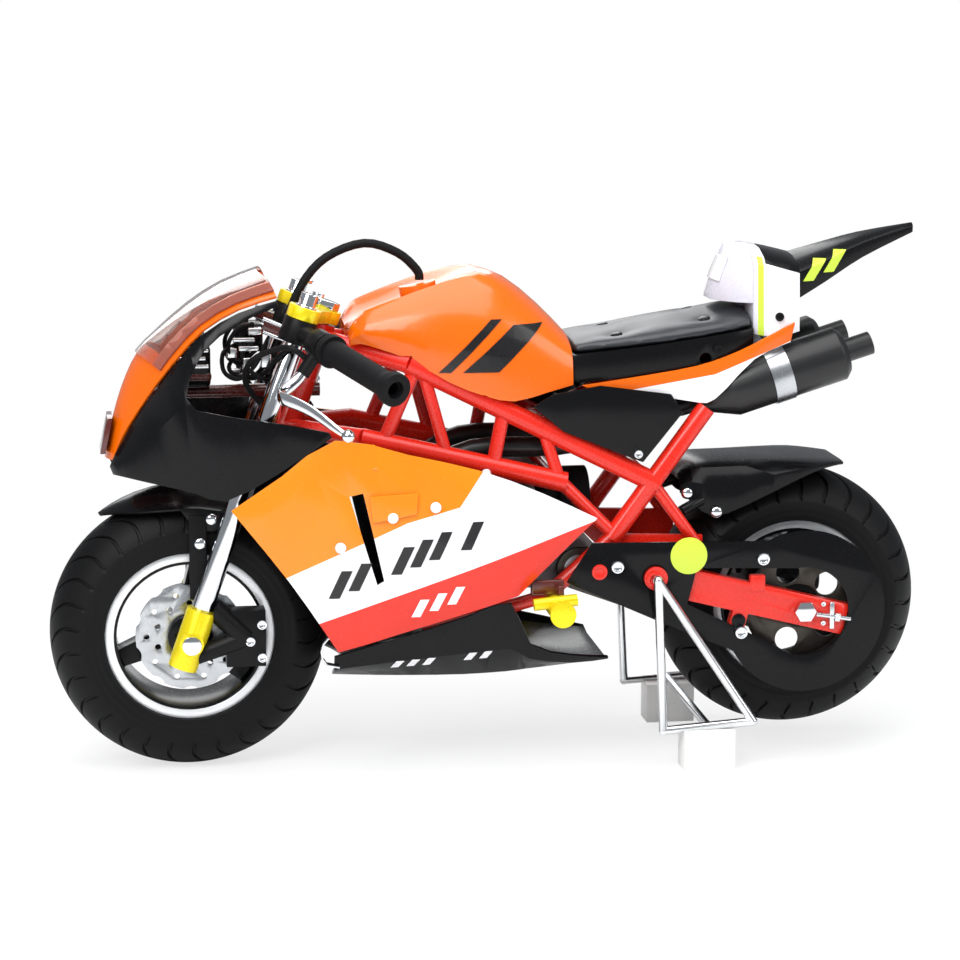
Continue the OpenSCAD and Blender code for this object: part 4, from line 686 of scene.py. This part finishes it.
seat()
print("stage: seat done")


# where a line across the bike meets a piece's outside: side 1 is the left
def onSide(piece, x, z, side=1):
    start = piece.matrix_world.inverted() @ mm(x, 400 * side, z)
    _, place, normal, _ = piece.ray_cast(start, Vector((0, -side, 0)))
    return piece.matrix_world @ place, normal


# a tube along points in mm with a half width and half height at each, closed at both ends
def sweep(name, path, halves, sides=14):
    path = [mm(*p) for p in path]
    points = []
    for k, at in enumerate(path):
        along = (path[min(k + 1, len(path) - 1)] - path[max(k - 1, 0)]).normalized()
        across = along.cross(Vector((0, 0, 1))).normalized()
        up = across.cross(along)
        for n in range(sides):
            turn = 2 * math.pi * n / sides
            out, over = halves[k][0] / 1000 * math.cos(turn), halves[k][1] / 1000 * math.sin(turn)
            points.append(at + across * out + up * over)
    ends = [range(sides), range(len(points) - sides, len(points))]
    piece = newMesh(name, points, ringFaces(len(path), sides, len(path) - 1) + ends)
    tidyNormals(piece)
    return piece


# one piece out of several, smoothed and finished
def fitting(name, parts, body, tone, angle=40, replaced=()):
    grab(*parts)
    if len(parts) > 1:
        bpy.ops.object.join()
    piece = bpy.context.object
    piece.name = name
    piece.data.name = name
    smooth(piece, angle)
    finishPiece(piece, body, [tone], replaced)
    return piece


# a block between two corners in mm with rounded edges
def block(name, low, high, edgeMm):
    corners = [mm(x, y, z) for x in (low[0], high[0]) for y in (low[1], high[1]) for z in (low[2], high[2])]
    piece = newMesh(name, corners, [(0, 1, 3, 2), (4, 6, 7, 5), (0, 4, 5, 1),
                                    (2, 3, 7, 6), (0, 2, 6, 4), (1, 5, 7, 3)])
    tidyNormals(piece)
    softEdges(piece, edgeMm, 40, 3)
    return piece


# brake levers: bowed flat blade that narrows to a ball end
lever = {"path": ((510, 104.5, 423), (513, 105.5, 418), (518, 107.5, 411), (529, 114, 403), (538, 122, 397.5),
                  (536, 134, 397), (523, 148, 394.5), (508, 162, 388), (494, 176, 378), (484, 185, 371),
                  (477, 190, 368)),
         "halves": ((5, 5), (6, 6), (6, 6.4), (5, 7), (4.2, 7.4), (3.4, 7), (3, 6.4), (2.8, 5.6), (2.7, 4.8),
                    (2.7, 4), (2.7, 3.4)),
         "ballMm": 6.6}


def levers():
    blades = []
    for side in both:
        blade = sweep("leverBlade", [(x, y * side, z) for x, y, z in lever["path"]], lever["halves"])
        modify(blade, "SUBSURF", levels=2)
        x, y, z = lever["path"][-1]
        bpy.ops.mesh.primitive_uv_sphere_add(segments=24, ring_count=14, radius=lever["ballMm"] / 1000,
                                             location=mm(x, y * side, z))
        bpy.ops.object.transform_apply()
        blades += [blade, bpy.context.object]
    fitting("leverBlades", blades, "steering", "chromePlate", 60, ["levers"])


levers()


# chain adjusters on the swingarm ends: cross bar, tension bolt and its nut
def adjusters():
    pieces = []
    for side in both:
        y = onSide(shown["swingarm"], -20, 156, side)[0].y * 1000
        mid = y + 3.5 * side
        pieces.append(block("bar", (-31, y + 0.3 * side, 140), (-26, y + 5 * side, 168), 1.2))
        pieces.append(sweep("screw", [(-12, mid, 156), (-30, mid, 153), (-48, mid, 150)], [(2.4, 2.4)] * 3))
        pieces.append(sweep("nut", [(-31.5, mid, 152.7), (-36.5, mid, 151.9)], [(4.6, 4.6)] * 2, 6))
    fitting("chainAdjusters", pieces, "chassis", "machinedAlloy")


adjusters()


# wiring loom, switch box and connectors in front of the yokes, sizes in mm
loom = {
    "wires": (((560, 10, 430), (566, 22, 412), (560, 40, 404), (546, 52, 412), (534, 70, 430),
               (522, 86, 442)),
              ((560, -10, 430), (566, -22, 412), (560, -40, 404), (546, -52, 412), (534, -70, 430),
               (522, -86, 442)),
              ((552, 16, 430), (572, 30, 418), (582, 36, 436), (572, 34, 453), (556, 18, 456)),
              ((556, -16, 430), (576, -24, 414), (582, -20, 436), (570, -10, 456), (560, -4, 456)),
              ((566, 4, 430), (580, 10, 412), (570, 26, 403), (554, 36, 408), (540, 40, 426), (530, 44, 446)),
              ((548, 20, 446), (562, 38, 442), (568, 46, 424), (554, 50, 407), (540, 46, 404)),
              ((570, 12, 436), (586, 22, 428), (586, 32, 410), (572, 42, 404), (556, 46, 418),
               (544, 40, 440))),
    "wireMm": 2.3,
    "boxes": (((546, -20, 428), (574, 20, 456)), ((520, -9, 444), (550, 9, 452)),
              ((528, 28, 404), (546, 44, 424))),
    "plugs": (((573, 27, 424), (583, 37, 434)), ((560, 40, 412), (568, 50, 426)),
              ((540, 45, 416), (550, 53, 430)), ((566, 6, 404), (580, 16, 410)),
              ((548, 22, 447), (562, 38, 454)), ((552, 40, 432), (572, 46, 437)),
              ((556, 46, 442), (578, 50, 446))),
}


# points on a smooth line through given places
def spline(places, steps=6):
    places = [Vector(p) for p in places]
    ends = [2 * places[0] - places[1]] + places + [2 * places[-1] - places[-2]]
    line = []
    for k in range(len(places) - 1):
        a, b, c, d = ends[k:k + 4]
        for n in range(steps):
            u = n / steps
            line.append(0.5 * (2 * b + (c - a) * u + (2 * a - 5 * b + 4 * c - d) * u * u
                               + (3 * b - a - 3 * c + d) * u ** 3))
    return line + [places[-1]]


def steeringLoom():
    wires = []
    for path in loom["wires"]:
        line = spline(path)
        wires.append(sweep("wire", line, [(loom["wireMm"], loom["wireMm"])] * len(line), 10))
    fitting("steeringWires", wires, "steering", "mouldedRubber", 60)
    boxes = [block("box", low, high, 2.5) for low, high in loom["boxes"]]
    fitting("switchBoxes", boxes, "steering", "blackPlastic")
    plugs = [block("plug", low, high, 1.2) for low, high in loom["plugs"]]
    fitting("wirePlugs", plugs, "steering", "machinedAlloy")
    braces, rails = [], []
    for side in both:
        for lift, kind, halves in ((0, braces, (2.2, 5.5)), (6.5, rails, (2, 2)), (-6.5, rails, (2, 2))):
            kind.append(sweep("brace", [(548, 54 * side, 459 + lift), (526, 57 * side, 450 + lift),
                                        (504, 60 * side, 441 + lift)], [halves] * 3, 16))
    fitting("barBraces", braces, "steering", "darkRedPlastic", 50)
    fitting("braceRails", rails, "steering", "chromePlate", 50)


steeringLoom()


# lamp housing on the nose stay, with clip strips and a dark red band, corners in mm
noseBox = {"shell": ((599, -26, 393.2), (634, 26, 436)), "lid": ((603, -20, 435), (630, 20, 446)),
           "band": ((598.2, -26.8, 399), (634.8, 26.8, 409)),
           "strips": (((601, 25.5, 413), (629, 28, 417)), ((604, 25.5, 421), (632, 28, 425)),
                      ((601, 25.5, 429), (622, 28, 432.5)))}


def noseHousing():
    shell = [block("shell", *noseBox["shell"], 5), block("lid", *noseBox["lid"], 3)]
    fitting("noseHousing", shell, "chassis", "blackPlastic")
    fitting("noseBand", [block("band", *noseBox["band"], 4)], "chassis", "darkRedPlastic")
    strips = [block("strip", (low[0], low[1] * side, low[2]), (high[0], high[1] * side, high[2]), 0.8)
              for low, high in noseBox["strips"] for side in both]
    fitting("noseStrips", strips, "chassis", "machinedAlloy")


noseHousing()


# small welded tabs on top of the swingarm legs
def armTabs():
    tabs = []
    for side in both:
        y = onSide(shown["swingarm"], 48, 178, side)[0].y * 1000 * side
        tabs.append(block("tab", (41, side * (y - 9), 180), (57, side * (y + 0.8), 198), 2))
    fitting("armTabs", tabs, "chassis", "redPowderCoat")


armTabs()

# flat stays that carry the front mudguard beside the fork legs
plates = [block("stay", (607, side * 50.2, 182), (625, side * 53, 268), 1.2) for side in both]
shown["stays"] = fitting("fenderStays", plates, "steering", "satinBlack")

# bright bent straps from the fairing's front edge to the belly pan:
# outer line in side view, thickness, width and edge in mm
frontStrap = {"line": ((484, 151), (491, 149), (496, 143), (498, 135), (497, 127), (492, 120), (479, 117)),
              "thick": 2.2, "across": (89, 100), "edge": 0.6}


def frontBrackets():
    straps = []
    line = [Vector(p) for p in frontStrap["line"]]
    for side in both:
        points = []
        for k, (x, z) in enumerate(line):
            along = (line[min(k + 1, len(line) - 1)] - line[max(k - 1, 0)]).normalized()
            inner = Vector((x, z)) + Vector((along.y, -along.x)) * frontStrap["thick"]
            low, high = (side * y for y in frontStrap["across"])
            points += [mm(x, low, z), mm(x, high, z), mm(inner.x, high, inner.y), mm(inner.x, low, inner.y)]
        ends = [range(4), range(len(points) - 4, len(points))]
        strap = newMesh("strap", points, ringFaces(len(line), 4, len(line) - 1) + ends)
        tidyNormals(strap)
        softEdges(strap, frontStrap["edge"], 60)
        straps.append(strap)
    fitting("frontBrackets", straps, "chassis", "machinedAlloy")


frontBrackets()


# dark red peg brackets under the cradle tubes, with a gold hinge pin
def pegBrackets():
    plates, pins = [], []
    for side in both:
        plates.append(block("plate", (250, side * 87.5, 184), (284, side * 94, 200), 2))
        plates.append(block("ear", (252, side * 87.5, 178), (258, side * 106, 196), 1.5))
        pins.append(sweep("pin", [(240, side * 112, 183), (262, side * 112, 181), (284, side * 112, 179)],
                          [(6, 6), (6.4, 6.4), (6, 6)], 18))
    fitting("pegPlates", plates, "chassis", "darkRedPlastic")
    fitting("pegPins", pins, "chassis", "goldAnodised")


pegBrackets()

# a bolt's head, in shares of radius and height: inset and lift of a dome's steps, inset and depth of a socket
boltHead = {"sides": 28, "dome": ((0.3, 0.3), (0.4, 0.15)), "socket": (0.42, 0.6), "edge": 0.12}


# a bolt modelled once along +Z, then copied to its places
def bolts(name, places, radiusMm, heightMm, body, tone, dome=False):
    radius, tall = radiusMm / 1000, heightMm / 1000
    bpy.ops.mesh.primitive_cylinder_add(vertices=boltHead["sides"], radius=radius, depth=tall,
                                        location=(0, 0, tall / 2))
    model = bpy.context.object
    bpy.ops.object.transform_apply()
    bpy.ops.object.mode_set(mode="EDIT")
    bpy.ops.mesh.select_all(action="DESELECT")
    bpy.ops.object.mode_set(mode="OBJECT")
    for face in model.data.polygons:
        face.select = face.normal.z > 0.9
    bpy.ops.object.mode_set(mode="EDIT")
    if dome:
        for inset, lift in boltHead["dome"]:
            bpy.ops.mesh.inset(thickness=inset * radius)
            bpy.ops.transform.translate(value=(0, 0, lift * tall))
    else:
        inset, deep = boltHead["socket"]
        bpy.ops.mesh.inset(thickness=inset * radius)
        bpy.ops.mesh.extrude_region_move(TRANSFORM_OT_translate={"value": (0, 0, -deep * tall)})
    bpy.ops.object.mode_set(mode="OBJECT")
    softEdges(model, boltHead["edge"] * radiusMm, 50)
    copies = []
    for place, normal in places:
        turn = Vector((0, 0, 1)).rotation_difference(Vector(normal)).to_matrix().to_4x4()
        mesh = model.data.copy()
        mesh.transform(Matrix.Translation(place) @ turn)
        copies.append(addObject(name, mesh))
    bpy.data.objects.remove(model)
    fitting(name, copies, body, tone)


chromeSocket = ("chrome", "chromePlate", False)
blackSocket = ("black_metal", "satinBlack", False)
# the piece they sit on, places in side view, sides, radius and height in mm, slot, finish, domed or not
boltSets = {
    "fairingBolts": ("side_fairings", ((478, 243), (426, 272), (383, 281)), both, 5.5, 3.5,
                     "white_plastic", "whitePlastic", True),
    "guardBolts": ("chain_guard", ((45, 216), (67, 140), (196, 212)), (1,), 6.5, 4.5, *chromeSocket),
    "huggerBolts": ("rear_fender", ((118, 280), (88, 260)), both, 6.0, 4.0, "chrome", "chromePlate", True),
    "coverScrews": ("side_covers", ((174, 326),), both, 4.5, 3.0, *chromeSocket),
    "humpBolts": ("tail_hump", ((24, 459),), both, 4.5, 3.0, *blackSocket),
    "caliperBolts": ("front_caliper", ((554, 158), (554, 124), (566, 141)), (1,), 5.0, 4.0, *chromeSocket),
    "swingarmBolts": ("swingarm", ((-20, 166), (-20, 146)), both, 2.6, 2.0, *chromeSocket),
    "baseScrews": ("seat_base", ((91, 429),), both, 4.5, 3.0, *blackSocket),
    "guardPlugs": ("chain_guard", ((214, 207),), (1,), 8.0, 2.0, "red_metal", "redPowderCoat", False),
}
for name, (on, spots, sides, radius, tall, slotName, finish, dome) in boltSets.items():
    places = [onSide(shown[on], x, z, side) for x, z in spots for side in sides]
    bolts(name, places, radius, tall, bodyOf[on], finish, dome)
fenderSpots = (("front_fender", 602, 264), ("stays", 614, 240))
fenderPlaces = [onSide(shown[on], x, z, side) for on, x, z in fenderSpots for side in both]
bolts("fenderBolts", fenderPlaces, 6.0, 4.0, "steering", "chromePlate", True)
# caps on both ends of the swingarm's pivot tube, 9 mm ahead of the place that is looked up
pivotEnds = [(onSide(shown["frame"], 149, 198.5, side)[0] + Vector((0.009, 0, 0)), Vector((0, side, 0)))
             for side in both]
bolts("pivotCaps", pivotEnds, 8.5, 2.5, "chassis", "redPowderCoat")


# where a plumb line meets a piece's top
def onTop(piece, x, y):
    start = piece.matrix_world.inverted() @ mm(x, y, 900)
    _, place, normal, _ = piece.ray_cast(start, Vector((0, 0, -1)))
    return piece.matrix_world @ place, normal


bolts("seatButtons", [onTop(shown["seat_pad"], x, y) for x, y in seatPad["buttons"]],
      6.0, 2.0, "chassis", "blackPlastic", True)
bolts("forkCaps", [onTop(shown["fork_tubes"], 494, 62 * side) for side in both],
      6.0, 4.0, "steering", "chromePlate")
print("stage: bolts done")

# films start this far out, and end this far over the surface
filmLay = {"startMm": 300, "gap": 0.0005}


# a thin film laid on a piece, drawn by four corners in side view, or in front view for side 0
def film(name, corners, on, side, tone, thickMm=0.2, cuts=11):
    start = filmLay["startMm"]
    points = [mm(x, start * side, z) if side else mm(start, x, z) for x, z in corners]
    piece = newMesh(name, points, [(0, 1, 2, 3)])
    edit(piece, (bpy.ops.mesh.subdivide, {"number_cuts": cuts}))
    modify(piece, "SHRINKWRAP", target=shown[on], wrap_method="PROJECT", use_project_x=side == 0,
           use_project_y=side != 0, use_project_z=False, use_negative_direction=side >= 0,
           use_positive_direction=side < 0, offset=filmLay["gap"])
    spots = spotsOf(piece)
    depth = 1 if side else 0
    off = np.abs(spots[:, depth] - points[0][depth]) < filmLay["gap"]
    if off.any():
        # corners over a gap are drawn back to the nearest surface
        for k in np.nonzero(off)[0]:
            near = np.linalg.norm(np.delete(spots[~off] - spots[k], depth, axis=1), axis=1).argmin()
            spots[k, depth] = spots[~off][near, depth]
        moveSpots(piece, spots)
    modify(piece, "SOLIDIFY", thickness=thickMm / 1000, offset=1.0)
    tidyNormals(piece)
    if thickMm > 0.5:
        softEdges(piece, 0.4 * thickMm)
    smooth(piece, 30)
    finishPiece(piece, "chassis", [tone])


# a slanted bar about a middle point: width, height and lean in mm
def bar(x, z, wide, tall, lean):
    return ((x + wide / 2 + lean / 2, z - tall / 2), (x - wide / 2 + lean / 2, z - tall / 2),
            (x - wide / 2 - lean / 2, z + tall / 2), (x + wide / 2 - lean / 2, z + tall / 2))


# slanted bars: the piece they lie on, finish, slot, size in mm, middles in side view
barSets = {
    "whiteBand": ("side_fairings", "blackFilm", "black_plastic", (11, 28, 13),
                  ((478, 205), (458.4, 212.3), (416, 228), (397, 235), (378, 242), (346, 251))),
    "redBand": ("side_fairings", "whitePlastic", "white_plastic", (9, 18, 9),
                ((398, 178), (380, 184), (362, 190))),
    "bellyBand": ("belly_pan", "whitePlastic", "white_plastic", (8, 9, 5),
                  ((420, 118), (404, 119), (388, 120), (346, 124), (330, 125))),
    "wing": ("tail_wing", "limeFilm", "black_plastic", (12, 22, 14), ((-15, 505), (-38, 513))),
}
tankBars = {"tankBarWide": ((352, 412), (316, 412), (268, 458), (300, 458)),
            "tankBarThin": ((376, 412), (364, 412), (312, 464), (323, 464))}
scoop = ((446, 267), (402, 275), (400, 296), (449, 294))
humpPanel = ((-27, 492), (27, 492), (23, 516), (-23, 516))
for side, hand in ((1, "Left"), (-1, "Right")):
    for name, corners in tankBars.items():
        film(name + hand, corners, "tank_cover", side, "blackFilm", 0.3, 31)
    for name, (on, tone, slotName, size, middles) in barSets.items():
        for k, (x, z) in enumerate(middles):
            film("%sBar%d%s" % (name, k, hand), bar(x, z, *size), on, side, tone)
    film("scoop" + hand, scoop, "side_fairings", side, "amberPlastic", 3.0)
film("humpPanel", humpPanel, "tail_hump", 0, "whitePlastic", 1.2)
print("stage: films done")

# lime disc on the chain guard: place in side view, radius, thickness and edge in mm
guardDisc = {"at": (122, 221), "radius": 19, "thick": 0.8, "edge": 0.25}
bpy.ops.mesh.primitive_cylinder_add(vertices=64, radius=guardDisc["radius"] / 1000,
                                    depth=guardDisc["thick"] / 1000, rotation=(math.pi / 2, 0, 0),
                                    location=onSide(shown["chain_guard"], *guardDisc["at"])[0])
disc = bpy.context.object
bpy.ops.object.transform_apply()
softEdges(disc, guardDisc["edge"])
fitting("guardDisc", [disc], "chassis", "limeFilm", 35)

# the floor's size in metres, and where it fades to white for the camera
floorForm = {"size": 12, "fadeFrom": 0.45, "fadeTo": 1.0, "least": 0.7}


# floor that shows white to the camera and still takes the shadow
def floorFinish():
    material, tree, shader, place = newMaterial("paleFloor")
    path = addNode(tree, "ShaderNodeLightPath", {})
    cloud = addNode(tree, "ShaderNodeTexNoise", {"Vector": place, "Scale": 6.0})
    tone = addNode(tree, "ShaderNodeMix", {0: cloud.outputs["Fac"], 6: hexColor("#f4f4f4"),
                                           7: hexColor("#f1f1f1")}, data_type="RGBA")
    setSockets(tree, shader, {"Base Color": tone.outputs[2], "Roughness": 0.9})
    white = addNode(tree, "ShaderNodeEmission", {"Color": (1, 1, 1, 1), "Strength": 1.0})
    away = addNode(tree, "ShaderNodeVectorMath", {0: place}, operation="LENGTH")
    fade = addNode(tree, "ShaderNodeMapRange",
                   {"Value": away.outputs["Value"], "From Min": floorForm["fadeFrom"],
                    "From Max": floorForm["fadeTo"], "To Min": floorForm["least"], "To Max": 1.0},
                   interpolation_type="SMOOTHSTEP")
    share = addNode(tree, "ShaderNodeMath", {0: path.outputs["Is Camera Ray"], 1: fade.outputs["Result"]},
                    operation="MULTIPLY")
    mix = addNode(tree, "ShaderNodeMixShader", {0: share.outputs[0], 1: shader.outputs[0],
                                                2: white.outputs[0]})
    setSockets(tree, tree.nodes["Material Output"], {"Surface": mix.outputs[0]})
    return material


bpy.ops.mesh.primitive_plane_add(size=floorForm["size"])
floor = bpy.context.object
floor.name = "floor"
floor.data.materials.append(floorFinish())

# a pale sky for light and mirrors, plain white behind the bike
world = bpy.data.worlds.new("studio")
bpy.context.scene.world = world
world.use_nodes = True
tree = world.node_tree
back = tree.nodes["Background"]
setSockets(tree, back, {"Color": hexColor("#e9eef4"), "Strength": 0.36})
path = addNode(tree, "ShaderNodeLightPath", {})
seen = addNode(tree, "ShaderNodeMath", {0: path.outputs["Is Camera Ray"],
                                        1: path.outputs["Is Transmission Ray"]}, operation="MAXIMUM")
white = addNode(tree, "ShaderNodeBackground", {"Color": (1, 1, 1, 1), "Strength": 1.0})
mix = addNode(tree, "ShaderNodeMixShader", {0: seen.outputs[0], 1: back.outputs[0], 2: white.outputs[0]})
setSockets(tree, tree.nodes["World Output"], {"Surface": mix.outputs[0]})


# turns an object at its place towards another place
def aimAt(obj, place, target):
    obj.location = place
    obj.rotation_euler = (Vector(target) - Vector(place)).to_track_quat("-Z", "Y").to_euler()


lightAim = (0, 0, 0.3)
lights = {
    "topSoftbox": {"at": (0.1, 0.5, 2.3), "size": 2.4, "watts": 62},
    "sideSoftbox": {"at": (1.5, 2.1, 2.0), "size": 1.6, "watts": 62},
    "rearSoftbox": {"at": (-2.0, 1.2, 1.4), "size": 1.4, "watts": 22},
    "backSoftbox": {"at": (0.2, -2.4, 1.6), "size": 1.8, "watts": 26},
}
for name, light in lights.items():
    data = bpy.data.lights.new(name, "AREA")
    data.size = light["size"]
    data.energy = light["watts"]
    aimAt(addObject(name, data), light["at"], lightAim)

# the photograph's view, fitted to both wheels
photoView = {"lens": 108.98, "sensor": 36, "at": (0.42775, 2.922, 0.823), "aim": (0.00835, 0, 0.2874)}
camera = addObject("photoCamera", bpy.data.cameras.new("photoCamera"))
camera.data.lens = photoView["lens"]
camera.data.sensor_width = photoView["sensor"]
camera.data.dof.use_dof = False
aimAt(camera, photoView["at"], photoView["aim"])
bpy.context.scene.camera = camera
bpy.context.scene.view_settings.view_transform = "Standard"
print("stage: floor, light and camera done")
